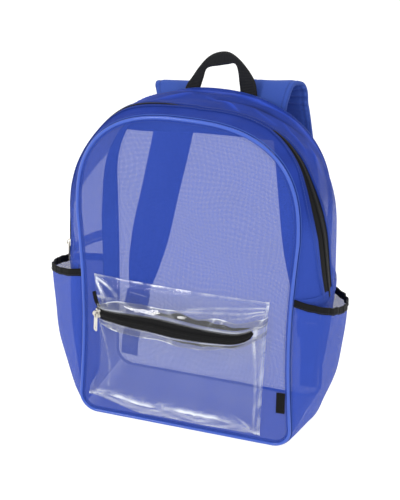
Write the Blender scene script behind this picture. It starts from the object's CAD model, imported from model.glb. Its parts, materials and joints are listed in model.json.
"""See-through mesh backpack with a clear front pocket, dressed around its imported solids."""

import json
import math

import bpy
import numpy as np
from mathutils import Matrix, Vector

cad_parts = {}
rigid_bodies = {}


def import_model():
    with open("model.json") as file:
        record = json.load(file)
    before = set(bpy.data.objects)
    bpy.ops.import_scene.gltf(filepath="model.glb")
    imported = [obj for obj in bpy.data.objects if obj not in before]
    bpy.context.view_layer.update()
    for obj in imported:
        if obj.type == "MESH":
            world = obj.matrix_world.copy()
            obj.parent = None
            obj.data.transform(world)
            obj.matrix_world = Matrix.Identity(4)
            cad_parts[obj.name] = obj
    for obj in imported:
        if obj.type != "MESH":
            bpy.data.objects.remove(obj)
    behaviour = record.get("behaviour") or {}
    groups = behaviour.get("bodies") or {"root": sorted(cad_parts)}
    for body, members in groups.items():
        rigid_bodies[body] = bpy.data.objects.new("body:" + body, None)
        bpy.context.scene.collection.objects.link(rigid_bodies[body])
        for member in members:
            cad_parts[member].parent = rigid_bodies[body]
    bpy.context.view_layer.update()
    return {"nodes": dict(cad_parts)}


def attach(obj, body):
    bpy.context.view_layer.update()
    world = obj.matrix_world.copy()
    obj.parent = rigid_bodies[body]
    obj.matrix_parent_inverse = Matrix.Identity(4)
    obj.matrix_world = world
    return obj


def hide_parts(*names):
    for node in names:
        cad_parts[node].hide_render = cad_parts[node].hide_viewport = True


bl_info = {
    "name": "Mesh Backpack Dresser",
    "version": (1, 0, 0),
    "blender": (4, 5, 0),
    "location": "3D View > Sidebar > Backpack",
    "description": "Dresses the packed solids of a see-through mesh backpack",
    "category": "Object",
}

for left_over in list(bpy.data.objects):
    bpy.data.objects.remove(left_over, do_unlink=True)

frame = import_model()
NODES = frame["nodes"]

MM = 0.001
BODY = "bag"

# Shape of the bag in millimetres, the same values as in the part's source
CLOTH = 1.2
FILM = 1.0
GAP = 0.35
DEPTH = 135
CORNER = 26
SPRING = 292
FRONT_SEAM = {"width": 300, "height": 438, "power": 2.65, "waist": 6.5}
BACK_SEAM = {"width": 306, "height": 433, "power": 2.2, "waist": 2}
SIDE_LEVELS = (26, 58, 98, 142, 186, 204, 244, SPRING)
BASE_END = 3
CORNER_END = 7
SIDE_END = 14
TOP = 25
MOUTH_STATION = 11
ZIP_STATION = 12
PILLOW_POWER = 2.6
PILLOW_SKEW = 0.8
TOP_SWELL = 3
SWELL = {
    "z": (0, 26, 98, 186, 250, 330, 390, 438),
    "left": (0, 9, 29, 35, 33, 17, 5, 3),
    "right": (0, 3, 21, 31, 28, 19.5, 12, 4),
}
# The left shoulder stands up a little: station, spread in stations and height
SHOULDER = {"at": -21.8, "spread": 2.4, "high": 7}
# The left end of the zip draws the cloth in before it: station, share of the depth, their spreads and depth
DIMPLE = {"at": -12.7, "v": 0.19, "spread": 1.2, "wide": 0.13, "deep": 8}
ZIP_LINE = {
    "rise": (0, 0.1, 0.2, 0.35, 0.5, 0.62, 0.8, 1),
    "at": (0.4, 0.29, 0.22, 0.19, 0.21, 0.24, 0.25, 0.25),
}
# The slot from the zip's right end over the top to its left end: shift of the zip, and openings beside it
ZIP_SLOT = {
    "turn": (0, 0.1, 0.2, 0.35, 0.5, 0.6, 0.66, 0.70, 0.735, 0.77, 1.0, 1.06, 1.14, 1.22, 1.32, 1.5, 1.65, 2),
    "shift": (-5, -4.2, -6.2, -7, -1.5, 2.5, 5, 7, 8, 8, 0, -4, -7, -8, -7, -3, 0, 0),
    "front": (14.8, 14.2, 12.8, 9.4, 7.8, 5.6, 2.5, 0.8, 1.2, 0.5, 0.5, 1.8, 3.2, 3.6, 3.8, 5, 7.5, 7),
    "back": (14.4, 14, 12.4, 9, 7.8, 5.6, 2.5, 0.8, 1.2, 0.5, 0.5, 1.8, 3.2, 3.6, 3.8, 5, 7.5, 7),
}
GUSSET_ARC = 155
ZIP_TAPE = 26
FACING_FROM = 0.868
FACING_TO = 0.998
FACING_END = 8
UNDERLAP = 0.8
FRONT_PIPE = 2.6
FRONT_CORD = 2.2
BACK_PIPE = 1.8
FRONT_PIPE_Y = -DEPTH / 2 - FRONT_PIPE - GAP
BACK_PIPE_Y = DEPTH / 2 + BACK_PIPE + GAP
BACK_FACE = BACK_PIPE_Y + CLOTH / 2
# Where the panels end beside the piping, and where their stitches run, as distances from the seam
FRONT_PANEL_EDGE = 2 * FRONT_PIPE + 0.1
BACK_PANEL_EDGE = 2 * BACK_PIPE + 0.1
FRONT_STITCH_EDGE = 2 * FRONT_PIPE + 2.6
BACK_STITCH_EDGE = 2 * BACK_PIPE + 2.6
FRONT_CROWN = 7
CROWN_X = 144
CROWN_Z = 212
CROWN_MIDDLE = 217
BACK_MIDDLE = 180
YOKE_LEVEL = 360
YOKE_TOP = 429.15
# The yoke's lower edge is sewn on a little higher towards the right
YOKE_EDGE = {"x": (-160, -115, -44, 43, 110, 160), "rise": (0, 0, 6.8, 10.2, 11, 11)}
SIDE_POCKET = {
    "up": (0, 0.2, 0.4, 0.7, 1),
    "left": (0, 7, 18, 23, 25),
    "right": (0, 5, 13, 18, 16),
}
POCKET_START = 5
POCKET_EDGE = 0.0015
MOUTH_SAG = 6
MOUTH_TILT = 28
# How far each mouth drops further at its front and back end
MOUTH_DROP = {"right": (-9, 0), "left": (-3, 12)}
MOUTH_ARC = 190
BINDING_HEIGHT = 8.5
CLEAR_HALF = 118
CLEAR_LOW = 13
CLEAR_ZIP_MIDDLE = 162
POCKET_ZIP_END = 0.89
CLEAR_HIGH = 210
CLEAR_EDGE = 0.1
CLEAR_SAG = 11
CLEAR_OUT = {
    "z": (13, 17, 26, 48, 100, 154, 170, 190, 210),
    "out": (0, 8, 15, 26, 28, 31, 29, 13, 0),
}
# The film's left edge flares out at its ends, and its right edge leans in towards the foot
FILM_FLARE = {"z": (13, 30, 60, 90, 150, 190, 210), "out": (17, 14, 4, 0, 0, 4, 6)}
FILM_RIGHT_IN = 3
FILM_RIGHT_LEAN = 7.7
FILM_CORNER_RISE = 15
# How far the pocket's zip rides up along its length, and half its height
POCKET_ZIP = {
    "s": (-1, -0.75, -0.5, -0.25, 0, 0.25, 0.5, 0.7, 0.8, 0.9, 1),
    "rise": (0.5, 6, 9, 10.5, 9, 7.5, 6.5, 6.2, 8.4, 12.5, 13),
    "half": (7, 7.4, 8.6, 9, 9.2, 8.2, 7.4, 6.8, 6.4, 5.6, 5),
}
CLEAR_SHARE = {
    "s": (0, 0.4, 0.7, 0.88, 0.97, 1),
    "share": (1, 0.97, 0.87, 0.66, 0.33, 0),
}
STRAP = {
    "x": (60, 61.5, 64, 67, 70, 74, 84, 98, 111, 120, 125),
    "y": (74.1, 76.4, 81.5, 92, 106, 115, 116, 110, 102, 94, 88),
    "z": (362, 398, 421, 433, 427, 400, 345, 275, 205, 150, 112),
    "width": (54, 58, 58, 58, 58, 58, 58, 58, 57, 44, 28),
    "thick": (6, 7, 8, 8, 8, 8, 8, 8, 8, 7, 4.5),
}
# How each strap lies: its fold's lift, shift and roll, its root's lean, and its hanging part's roll and end
SETTLE = {
    "right": {"lift": 7.0, "aside": 3.0, "roll": 7.0, "lean": -9.0, "hang": -20.0, "fade": 0.54},
    "left": {"lift": -9.5, "aside": 4.0, "roll": -5.0, "lean": 0.0, "hang": 15.0, "fade": 0.72},
}
# The strap's sewn end stays above the yoke's edge
ROOT_RISE = 9
WEBBING_WIDTH = 25
WEBBING_THICK = 1.8
BUCKLE_REACH = 13.85
WEBBING_LOOP = {
    "along": (40, 26, 11, 1, -4.2, -5.7, -4.2, 1, 11, 26),
    "off": (4.6, 3.8, 3.4, 3.4, 2.5, 0, -2.5, -3.4, -3.4, -3.6),
}
WEBBING_FOOT = ((131, 78.5, 56), (132.5, 72.6, 40), (133.5, 71.6, 16))
# The handle's outer and inner edge from its left foot to its right one, and its place in depth
HANDLE = {
    "outer_x": (-55, -51.5, -43, -34, -22, -10, 5.5, 18.5, 33, 42.5, 45.7, 47),
    "outer_z": (412, 430, 443.5, 457.7, 472, 479.5, 482, 475.2, 461.1, 446.2, 432, 412),
    "inner_x": (-36, -31.5, -27.6, -23.8, -19, -8, 5, 15, 18.8, 21, 22.7, 25),
    "inner_z": (412, 430, 443.5, 455.5, 458.8, 461.6, 465, 467, 458, 444, 432, 412),
    "y": (71.7, 72.8, 72.9, 73.0, 73.1, 73.2, 73.2, 73.1, 73.0, 72.9, 72.8, 71.7),
    "thick": (2.2, 2.2, 2.2, 2.4, 3.6, 4.2, 4.2, 3.8, 2.4, 2.2, 2.2, 2.2),
}
LABEL = {"x0": 128, "x1": 139.4, "z0": 52, "z1": 82, "thick": 1}
RIGHTWARD = np.array([1.0, 0.0, 0.0])
BACKWARD = np.array([0.0, 1.0, 0.0])
UPWARD = np.array([0.0, 0.0, 1.0])
BOTH_SIDES = ((1, "right"), (-1, "left"))
# Half thickness of the thread in hems, bindings and film, in millimetres
HEM_THREAD = 0.28
BINDING_THREAD = 0.3
FILM_THREAD = 0.26

# Camera at the photograph's viewing angle
CAMERA_PLACE = (0.5802, -1.7006, 1.0437)
CAMERA_TURN = 18.96
CAMERA_PITCH = 24.31
CAMERA_ROLL = 0.87
CAMERA_LENS = 108.04
CAMERA_SENSOR = 36
CAMERA_NEAR = 0.05
CAMERA_FAR = 50
# Soft studio lamps, placed in metres
LAMPS = {
    "name": ("key", "fill", "rim"),
    "place": ((-1.0, -1.8, 1.5), (1.6, -0.9, 1.2), (0.3, 1.3, 1.7)),
    "target": ((0, 0, 0.25), (0, 0, 0.25), (0, 0, 0.35)),
    "size": (0.7, 0.8, 0.9),
    "power": (18, 7, 3),
}
# Most light bounces, and most layers of mesh and film that light goes through
LIGHT_BOUNCES = 10
CLEAR_LAYERS = 48
FLOOR_REACH = 4000
FLOOR_LEVEL = -0.4
FLOOR_GLOW = 0.92


class BagColours(bpy.types.PropertyGroup):
    """Colours of the bag's finishes."""

    net: bpy.props.FloatVectorProperty(
        name="Net", description="Thread of the mesh", subtype="COLOR", size=3, min=0, max=1,
        default=(0.043, 0.092, 0.485),
    )
    cloth: bpy.props.FloatVectorProperty(
        name="Cloth", description="Solid cloth of straps and yoke", subtype="COLOR", size=3, min=0, max=1,
        default=(0.033, 0.080, 0.365),
    )
    piping: bpy.props.FloatVectorProperty(
        name="Piping", description="Vinyl piping in the seams", subtype="COLOR", size=3, min=0, max=1,
        default=(0.034, 0.092, 0.460),
    )
    film: bpy.props.FloatVectorProperty(
        name="Film", description="Clear film of the front pocket", subtype="COLOR", size=3, min=0, max=1,
        default=(0.86, 0.90, 0.97),
    )
    tape: bpy.props.FloatVectorProperty(
        name="Tape", description="Zip tapes and bindings", subtype="COLOR", size=3, min=0, max=1,
        default=(0.0034, 0.0034, 0.0040),
    )
    webbing: bpy.props.FloatVectorProperty(
        name="Webbing", description="Handle and strap webbing", subtype="COLOR", size=3, min=0, max=1,
        default=(0.0052, 0.0052, 0.0056),
    )
    metal: bpy.props.FloatVectorProperty(
        name="Metal", description="Plated sliders and pulls", subtype="COLOR", size=3, min=0, max=1,
        default=(0.70, 0.67, 0.60),
    )
    floor: bpy.props.FloatVectorProperty(
        name="Floor", description="Pale floor", subtype="COLOR", size=3, min=0, max=1,
        default=(0.22, 0.22, 0.22),
    )


class BagSizes(bpy.types.PropertyGroup):
    """Fine sizes of the bag's fabrics."""

    net_pitch: bpy.props.FloatProperty(
        name="Net pitch", description="Distance between threads of the mesh",
        unit="LENGTH", default=0.00052, min=0.0002, max=0.01, precision=5,
    )
    panel_thread: bpy.props.FloatProperty(
        name="Panel thread", description="Thread width as a share of the pitch on front and back",
        subtype="FACTOR", default=0.31, min=0.05, max=0.95,
    )
    side_thread: bpy.props.FloatProperty(
        name="Side thread", description="Thread width as a share of the pitch on gussets and pockets",
        subtype="FACTOR", default=0.44, min=0.05, max=0.95,
    )
    stitch: bpy.props.FloatProperty(
        name="Stitch", description="Distance between stitches", unit="LENGTH",
        default=0.0034, min=0.001, max=0.02, precision=4,
    )
    tooth: bpy.props.FloatProperty(
        name="Zip tooth", description="Distance between coils of a zip", unit="LENGTH",
        default=0.0017, min=0.0005, max=0.01, precision=4,
    )


def colours():
    return bpy.context.scene.bag_colours


def sizes():
    return bpy.context.scene.bag_sizes


def table_curve(table, key, column):
    """A smooth function through one column of a table, level in curvature at both ends."""
    keys = np.array(table[key], float)
    values = np.array(table[column], float)
    last = len(keys) - 1

    def at(x):
        x = np.clip(np.asarray(x, float), keys[0], keys[-1])
        i = np.clip(np.searchsorted(keys, x, side="right") - 1, 0, last - 1)
        before = np.where(i > 0, i - 1, i + 1)
        after = np.where(i + 2 <= last, i + 2, i)
        half = (keys[i + 1] - keys[i]) / 2
        back = half / (keys[i] - keys[before])
        ahead = half / (keys[after] - keys[i + 1])
        p = (x - keys[i]) / (2 * half)
        p2 = p * p
        p3 = p2 * p
        return (
            values[before] * (-back * p3 + 2 * back * p2 - back * p)
            + values[i] * ((1 + back) * p3 + (-1.5 - 2 * back) * p2 + (-0.5 + back) * p + 1)
            + values[i + 1] * ((-1 - ahead) * p3 + (1.5 + ahead) * p2 + 0.5 * p)
            + values[after] * (ahead * p3 - ahead * p2)
        )

    return at


swell_left = table_curve(SWELL, "z", "left")
swell_right = table_curve(SWELL, "z", "right")
yoke_rise = table_curve(YOKE_EDGE, "x", "rise")
zip_at = table_curve(ZIP_LINE, "rise", "at")
zip_shift = table_curve(ZIP_SLOT, "turn", "shift")
zip_front = table_curve(ZIP_SLOT, "turn", "front")
zip_back = table_curve(ZIP_SLOT, "turn", "back")
pocket_left = table_curve(SIDE_POCKET, "up", "left")
pocket_right = table_curve(SIDE_POCKET, "up", "right")
clear_out = table_curve(CLEAR_OUT, "z", "out")
clear_share = table_curve(CLEAR_SHARE, "s", "share")
film_flare = table_curve(FILM_FLARE, "z", "out")
pocket_zip_rise = table_curve(POCKET_ZIP, "s", "rise")
pocket_zip_half = table_curve(POCKET_ZIP, "s", "half")


def mix(a, b, t):
    return a + (b - a) * t


def ease(low, high, x):
    """0 below one value and 1 above another, with a smooth rise between."""
    t = np.clip((np.asarray(x, float) - low) / (high - low), 0, 1)
    return t * t * (3 - 2 * t)


def hump(x, spread):
    """1 at 0, falling away smoothly on both sides."""
    return np.exp(-((x / spread) ** 2))


def grid(a, b):
    """Two lists spread out as the rows and the columns of a grid."""
    return np.meshgrid(a, b, indexing="ij")


def pillow(v):
    """How full the gusset is at a share of the depth."""
    return 1 - np.abs(2 * np.maximum(v, 0) ** PILLOW_SKEW - 1) ** PILLOW_POWER


def unit(vectors):
    return vectors / np.maximum(np.linalg.norm(vectors, axis=-1, keepdims=True), 1e-9)


def square_to(way, along):
    """A direction with what lies along another one taken out."""
    return unit(way - along * (way * along).sum(axis=-1, keepdims=True))


def waves(seed, short, long, count=11):
    """A smooth bumpy function of two lengths, about -1 to 1, from seeded waves."""
    rng = np.random.default_rng(seed)
    turn = rng.uniform(0, 2 * math.pi, count)
    pitch = rng.uniform(short, long, count)
    phase = rng.uniform(0, 2 * math.pi, count)

    def at(a, b):
        total = 0
        for t, p, f in zip(turn, pitch, phase):
            total = total + np.sin(2 * math.pi * (a * math.cos(t) + b * math.sin(t)) / p + f)
        return total / math.sqrt(count)

    return at


def fold_station(k):
    """Brings a station into -TOP to TOP; negative stations are on the left side."""
    return (np.asarray(k, float) + TOP) % (2 * TOP) - TOP


def seam_line(seam, k):
    """x and z of a seam at station k."""
    k = fold_station(k)
    a = np.abs(k)
    half = seam["width"] / 2
    turn = np.clip((a - BASE_END) / (CORNER_END - BASE_END), 0, 1) * math.pi / 2
    level = np.interp(a - CORNER_END, range(len(SIDE_LEVELS)), SIDE_LEVELS)
    draw = np.sin(math.pi * (level - CORNER) / (SPRING - CORNER))
    rise = np.clip((a - SIDE_END) / (TOP - SIDE_END), 0, 1) * math.pi / 2
    power = 2 / seam["power"]
    base = a <= BASE_END
    corner = a <= CORNER_END
    side = a <= SIDE_END
    x = np.select(
        [base, corner, side],
        [(half - CORNER) * a / BASE_END, half - CORNER * (1 - np.sin(turn)), half - seam["waist"] * draw],
        half * np.maximum(np.cos(rise), 0) ** power,
    )
    z = np.select(
        [base, corner, side],
        [0 * a, CORNER * (1 - np.cos(turn)), level],
        SPRING + (seam["height"] - SPRING) * np.sin(rise) ** power,
    )
    return np.where(k < 0, -x, x), z


def seam_outward(seam, k, reach=0.5):
    """x and z of a seam's outward normal."""
    x1, z1 = seam_line(seam, k + reach)
    x0, z0 = seam_line(seam, k - reach)
    length = np.maximum(np.hypot(x1 - x0, z1 - z0), 1e-9)
    return (z1 - z0) / length, (x0 - x1) / length


def seam_inset(seam, k, distance):
    """x and z at a distance inside a seam."""
    x, z = seam_line(seam, k)
    nx, nz = seam_outward(seam, k, 0.3)
    return x - nx * distance, z - nz * distance


def gusset_point(k, v):
    """Points of the swollen gusset at station k and share v of the depth."""
    k, v = np.broadcast_arrays(np.asarray(k, float), np.asarray(v, float))
    fx, fz = seam_line(FRONT_SEAM, k)
    bx, bz = seam_line(BACK_SEAM, k)
    fnx, fnz = seam_outward(FRONT_SEAM, k)
    bnx, bnz = seam_outward(BACK_SEAM, k)
    nx, nz = fnx + bnx, fnz + bnz
    size = np.maximum(np.hypot(nx, nz), 1e-9)
    nx, nz = nx / size, nz / size
    z = mix(fz, bz, v)
    side = np.where(nx < 0, swell_left(z), swell_right(z))
    shoulder = SHOULDER["high"] * hump(fold_station(k) - SHOULDER["at"], SHOULDER["spread"])
    out = (side * np.abs(nx) + TOP_SWELL * np.maximum(nz, 0) + shoulder) * pillow(v)
    along = (fold_station(k) - DIMPLE["at"]) / DIMPLE["spread"]
    over = (v - DIMPLE["v"]) / DIMPLE["wide"]
    out = out - DIMPLE["deep"] * np.exp(-(along**2) - over**2) * ease(0, 0.08, v)
    y = mix(-DEPTH / 2, DEPTH / 2, v)
    return np.stack([mix(fx, bx, v) + nx * out, y, z + nz * out], axis=-1)


def lifted(surface, du, dv):
    """The same surface with a lift along its normal."""

    def at(u, v, lift=0.0):
        along = surface(u + du, v) - surface(u - du, v)
        across = surface(u, v + dv) - surface(u, v - dv)
        normal = unit(np.cross(across, along))
        return surface(u, v) + normal * np.asarray(lift, float)[..., None]

    return at


def seat(surface, u, v, lift):
    """A line that lies on a surface, and the way out of the surface along it."""
    line = surface(u, v, lift)
    return line, surface(u, v, lift + 1) - line


gusset = lifted(gusset_point, 0.35, 0.02)


def zip_turn(k):
    """0 at the zip's right end, 1 at the top and 2 at its left end."""
    return (np.asarray(k, float) - ZIP_STATION) / (TOP - ZIP_STATION)


def zip_stations(count):
    """Stations along the main zip, from its right end over the top to its left end."""
    return np.linspace(ZIP_STATION + 0.02, 2 * TOP - ZIP_STATION - 0.02, count)


def zip_middle(k):
    """Share of the depth at which the zip runs."""
    turn = zip_turn(k)
    return zip_at(1 - np.abs(turn - 1)) + zip_shift(turn) / GUSSET_ARC


def zip_front_edge(k):
    """Share of the depth at which the mesh in front of the zip ends."""
    return zip_middle(k) - zip_front(zip_turn(k)) / GUSSET_ARC


def zip_back_edge(k):
    """Share of the depth at which the mesh behind the zip starts."""
    return zip_middle(k) + zip_back(zip_turn(k)) / GUSSET_ARC


def front_face(x, z):
    """y of the crowned front."""
    across = np.maximum(0, 1 - (x / CROWN_X) ** 2)
    up = np.maximum(0, 1 - ((z - CROWN_MIDDLE) / CROWN_Z) ** 2)
    return FRONT_PIPE_Y - CLOTH / 2 - FRONT_CROWN * across * up


def side_pocket_point(k, v):
    """Points of a side pocket at station k and share v of the depth."""
    k, v = np.broadcast_arrays(np.asarray(k, float), np.asarray(v, float))
    up = (np.abs(k) - POCKET_START) / (MOUTH_STATION - POCKET_START)
    full = np.where(k < 0, pocket_left(up), pocket_right(up))
    off = (CLOTH + GAP + 0.1) * ease(-0.005, 0.02, np.minimum(v, 1 - v))
    points = gusset(k, v, off + full * (1 - np.abs(2 * v - 1) ** 2.2))
    ends = np.array([MOUTH_DROP["left"], MOUTH_DROP["right"]], float)[(k > 0).astype(int)]
    droop = MOUTH_SAG * pillow(v) + MOUTH_TILT * (v - 0.5)
    droop = droop + ends[..., 0] * np.maximum(1 - 2 * v, 0) ** 1.5
    droop = droop + ends[..., 1] * np.maximum(2 * v - 1, 0) ** 1.5
    points[..., 2] -= droop * np.maximum(up - 0.4, 0) * 1.6
    return points


side_pocket = lifted(side_pocket_point, 0.3, 0.01)


def clear_point(level, s):
    """Points of the clear film at a level and a share s of its half width."""
    level, s = np.broadcast_arrays(np.asarray(level, float), np.asarray(s, float))
    up = np.clip((level - CLEAR_LOW) / (CLEAR_HIGH - CLEAR_LOW), 0, 1)
    lean = (FILM_RIGHT_IN + FILM_RIGHT_LEAN * (1 - up)) * np.clip(s, 0, 1)
    x = s * (CLEAR_HALF + film_flare(level) * ease(0.5, 1, -s) - lean)
    z = level - CLEAR_SAG * (1 - s * s) * np.sin(math.pi * up) ** 2
    z = z + pocket_zip_rise(s) * ease(70, 150, level) * (1 - ease(175, 208, level))
    z = z + FILM_CORNER_RISE * ease(0.45, 1, -s) * (1 - ease(CLEAR_LOW, 80, level))
    out = CLEAR_EDGE + clear_out(level) * clear_share(np.abs(s))
    return np.stack([x, front_face(x, z) - FILM - GAP - out, z], axis=-1)


clear_film = lifted(clear_point, 1.0, 0.01)


def smooth_line(points, steps):
    """Points on a centripetal curve through the given ones, with an equal share for each span."""
    p = np.array(points, float)
    p = np.vstack([2 * p[0] - p[1], p, 2 * p[-1] - p[-2]])
    spans = len(p) - 3
    out = []
    for t in np.linspace(0, spans, steps + 1):
        i = min(int(t), spans - 1)
        a, b, c, d = p[i : i + 4]
        t0 = 0.0
        t1 = t0 + np.linalg.norm(b - a) ** 0.5
        t2 = t1 + np.linalg.norm(c - b) ** 0.5
        t3 = t2 + np.linalg.norm(d - c) ** 0.5
        w = mix(t1, t2, t - i)
        a1 = (t1 - w) / (t1 - t0) * a + (w - t0) / (t1 - t0) * b
        a2 = (t2 - w) / (t2 - t1) * b + (w - t1) / (t2 - t1) * c
        a3 = (t3 - w) / (t3 - t2) * c + (w - t2) / (t3 - t2) * d
        b1 = (t2 - w) / (t2 - t0) * a1 + (w - t0) / (t2 - t0) * a2
        b2 = (t3 - w) / (t3 - t1) * a2 + (w - t1) / (t3 - t1) * a3
        out.append((t2 - w) / (t2 - t1) * b1 + (w - t1) / (t2 - t1) * b2)
    return np.array(out)


def along_line(line):
    """Length along a line at each of its points."""
    steps = np.linalg.norm(np.diff(line, axis=0), axis=1)
    return np.concatenate([[0], np.cumsum(steps)])


def tangents(line):
    """The way along a line at each of its points."""
    return unit(np.gradient(line, axis=0))


def spaced(line, out, pitch):
    """Points at equal steps along a line, and the surface's normal at each."""
    length = along_line(line)
    count = max(int(length[-1] / pitch), 2)
    at = np.linspace(0, length[-1], count)
    places = np.stack([np.interp(at, length, line[:, i]) for i in range(3)], axis=1)
    share = at / length[-1]
    normal = np.stack([np.interp(share, length / length[-1], out[:, i]) for i in range(3)], axis=1)
    return places, unit(normal)


def build_mesh(name, points, faces, uvs, marks=None):
    """A smooth mesh object from points in millimetres, faces, and a place in metres for each point."""
    mesh = bpy.data.meshes.new(name)
    mesh.from_pydata((np.asarray(points, float) * MM).tolist(), [], faces)
    layer = mesh.uv_layers.new(name="place")
    index = np.zeros(len(mesh.loops), np.int32)
    mesh.loops.foreach_get("vertex_index", index)
    layer.uv.foreach_set("vector", np.asarray(uvs, np.float32)[index].ravel())
    for key, values in (marks or {}).items():
        layer = mesh.attributes.new(key, "FLOAT", "POINT")
        layer.data.foreach_set("value", np.asarray(values, np.float32).ravel())
    mesh.polygons.foreach_set("use_smooth", np.ones(len(mesh.polygons), bool))
    mesh.update()
    piece = bpy.data.objects.new(name, mesh)
    bpy.context.scene.collection.objects.link(piece)
    return piece


def grid_faces(rows, columns, loop_rows=False, loop_columns=False, flip=False):
    """Faces of a grid of points, closed into a loop either way if asked."""
    r = np.arange(rows if loop_rows else rows - 1)
    c = np.arange(columns if loop_columns else columns - 1)
    r, c = grid(r, c)
    r1, c1 = (r + 1) % rows, (c + 1) % columns
    quads = np.stack([r * columns + c, r * columns + c1, r1 * columns + c1, r1 * columns + c], axis=-1)
    quads = quads.reshape(-1, 4)
    return (quads[:, ::-1] if flip else quads).tolist()


def cloth_places(points):
    """Lengths down and across a grid of points, in metres, for the weave."""
    down = np.linalg.norm(np.diff(points, axis=0), axis=-1).mean(axis=1)
    across = np.linalg.norm(np.diff(points, axis=1), axis=-1)
    u = np.concatenate([[0], np.cumsum(down)])
    v = np.concatenate([np.zeros((len(points), 1)), np.cumsum(across, axis=1)], axis=1)
    v = v - v[:, v.shape[1] // 2][:, None]
    return np.stack([np.broadcast_to(u[:, None], v.shape), v], axis=-1) * MM


def make_sheet(name, points, marks=None):
    """A single sheet over a grid of points, with marks for its finish."""
    rows, columns = points.shape[:2]
    uvs = cloth_places(points).reshape(-1, 2)
    return build_mesh(name, points.reshape(-1, 3), grid_faces(rows, columns), uvs, marks)


def make_wall(name, outer, inner, uvs=None):
    """A closed wall between two grids of points."""
    rows, columns = outer.shape[:2]
    ring = np.concatenate([outer, inner[:, ::-1]], axis=1)
    uvs = cloth_places(outer) if uvs is None else uvs
    both = np.concatenate([uvs, uvs[:, ::-1]], axis=1)
    size = 2 * columns
    faces = grid_faces(rows, size, loop_columns=True)
    for row, turn in ((0, 1), (rows - 1, -1)):
        start = row * size
        for k in range(columns - 1):
            quad = [start + k, start + k + 1, start + size - 2 - k, start + size - 1 - k]
            faces.append(quad[::-1] if turn < 0 else quad)
    return close_outward(build_mesh(name, ring.reshape(-1, 3), faces, both.reshape(-1, 2)))


def close_outward(piece):
    """Turns every face of a closed mesh to look outward."""
    mesh = piece.data
    count = len(mesh.polygons)
    centres = np.zeros(count * 3)
    normals = np.zeros(count * 3)
    areas = np.zeros(count)
    mesh.polygons.foreach_get("center", centres)
    mesh.polygons.foreach_get("normal", normals)
    mesh.polygons.foreach_get("area", areas)
    volume = ((centres * normals).reshape(-1, 3).sum(axis=1) * areas).sum()
    if volume < 0:
        mesh.flip_normals()
    return piece


def make_sweep(name, line, wide, thin, section, loop=False, places=None):
    """A closed band of a section swept along a line; section is a grid of offsets or one ring of them."""
    section = np.broadcast_to(section, (len(line), *section.shape[-2:]))
    wide, thin = (np.broadcast_to(way, line.shape) for way in (wide, thin))
    points = line[:, None] + wide[:, None] * section[..., :1] + thin[:, None] * section[..., 1:]
    rows, size = points.shape[:2]
    faces = grid_faces(rows, size, loop_rows=loop, loop_columns=True)
    if not loop:
        faces.append(list(range(size)))
        faces.append(list(range((rows - 1) * size, rows * size))[::-1])
    u = np.broadcast_to(along_line(line)[:, None], (rows, size))
    v = section[..., 0] if places is None else np.broadcast_to(places, (rows, size))
    uvs = np.stack([u, v], axis=-1) * MM
    return close_outward(build_mesh(name, points.reshape(-1, 3), faces, uvs.reshape(-1, 2)))


def round_section(radius, sides):
    """A round cord's section."""
    turn = (np.arange(sides) + 0.5) / sides * 2 * math.pi
    return np.stack([radius * np.cos(turn), radius * np.sin(turn)], axis=-1)


def flat_section(width, thick, edge):
    """A flat band's section with rounded edges."""
    half, deep = width / 2, thick / 2
    across = np.linspace(-1, 1, 9)
    top = np.stack([across * (half - edge * deep), np.full(len(across), deep)], axis=-1)
    right = [[half - 0.1 * deep, 0.55 * deep], [half, 0], [half - 0.1 * deep, -0.55 * deep]]
    bottom = -top
    left = [[-half + 0.1 * deep, -0.55 * deep], [-half, 0], [-half + 0.1 * deep, 0.55 * deep]]
    return np.array([*top.tolist(), *right, *bottom.tolist(), *left])


BEAD_SIDES = 6


def make_beads(name, places, along, out, length, radius, flat=0.6, rings=4):
    """Many small rounded bars in one mesh: stitches and zip coils."""
    sides = BEAD_SIDES
    along = unit(along)
    out = square_to(out, along)
    side = np.cross(along, out)
    share = np.linspace(-1, 1, rings)
    girth = np.sqrt(np.maximum(1 - (share * 0.92) ** 4, 0.05))
    turn = np.arange(sides) / sides * 2 * math.pi
    ring = (
        along[:, None, None] * (share * length / 2)[None, :, None, None]
        + side[:, None, None] * (radius * girth[:, None] * np.cos(turn))[None, ..., None]
        + out[:, None, None] * (radius * flat * girth[:, None] * np.sin(turn))[None, ..., None]
    )
    points = (places[:, None, None] + ring).reshape(-1, 3)
    one = grid_faces(rings, sides, loop_columns=True, flip=True)
    one.append(list(range(sides)))
    one.append(list(range((rings - 1) * sides, rings * sides))[::-1])
    starts = range(0, len(points), rings * sides)
    faces = [[i + start for i in face] for start in starts for face in one]
    uvs = np.tile(np.repeat(share * length / 2, sides)[:, None] * MM, (len(places), 2))
    return close_outward(build_mesh(name, points, faces, uvs))


def node_tree(name):
    """A fresh material with its shader, ready for nodes."""
    material = bpy.data.materials.new(name)
    material.use_nodes = True
    tree = material.node_tree
    tree.nodes.clear()
    output = tree.nodes.new("ShaderNodeOutputMaterial")
    shader = tree.nodes.new("ShaderNodeBsdfPrincipled")
    tree.links.new(shader.outputs["BSDF"], output.inputs["Surface"])
    return material, tree, shader


def feed(tree, node, inputs):
    """Sets a node's inputs to values, or links them."""
    for key, value in inputs.items():
        if isinstance(value, bpy.types.NodeSocket):
            tree.links.new(value, node.inputs[key])
        else:
            node.inputs[key].default_value = value


def put(tree, kind, inputs=None, **settings):
    """A node with its settings and the values or links of its inputs."""
    node = tree.nodes.new(kind)
    for key, value in settings.items():
        setattr(node, key, value)
    feed(tree, node, inputs or {})
    return node


def sum_of(tree, operation, *values, kind="ShaderNodeMath"):
    """One step of arithmetic on values or links."""
    return put(tree, kind, dict(enumerate(values)), operation=operation).outputs[0]


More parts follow.
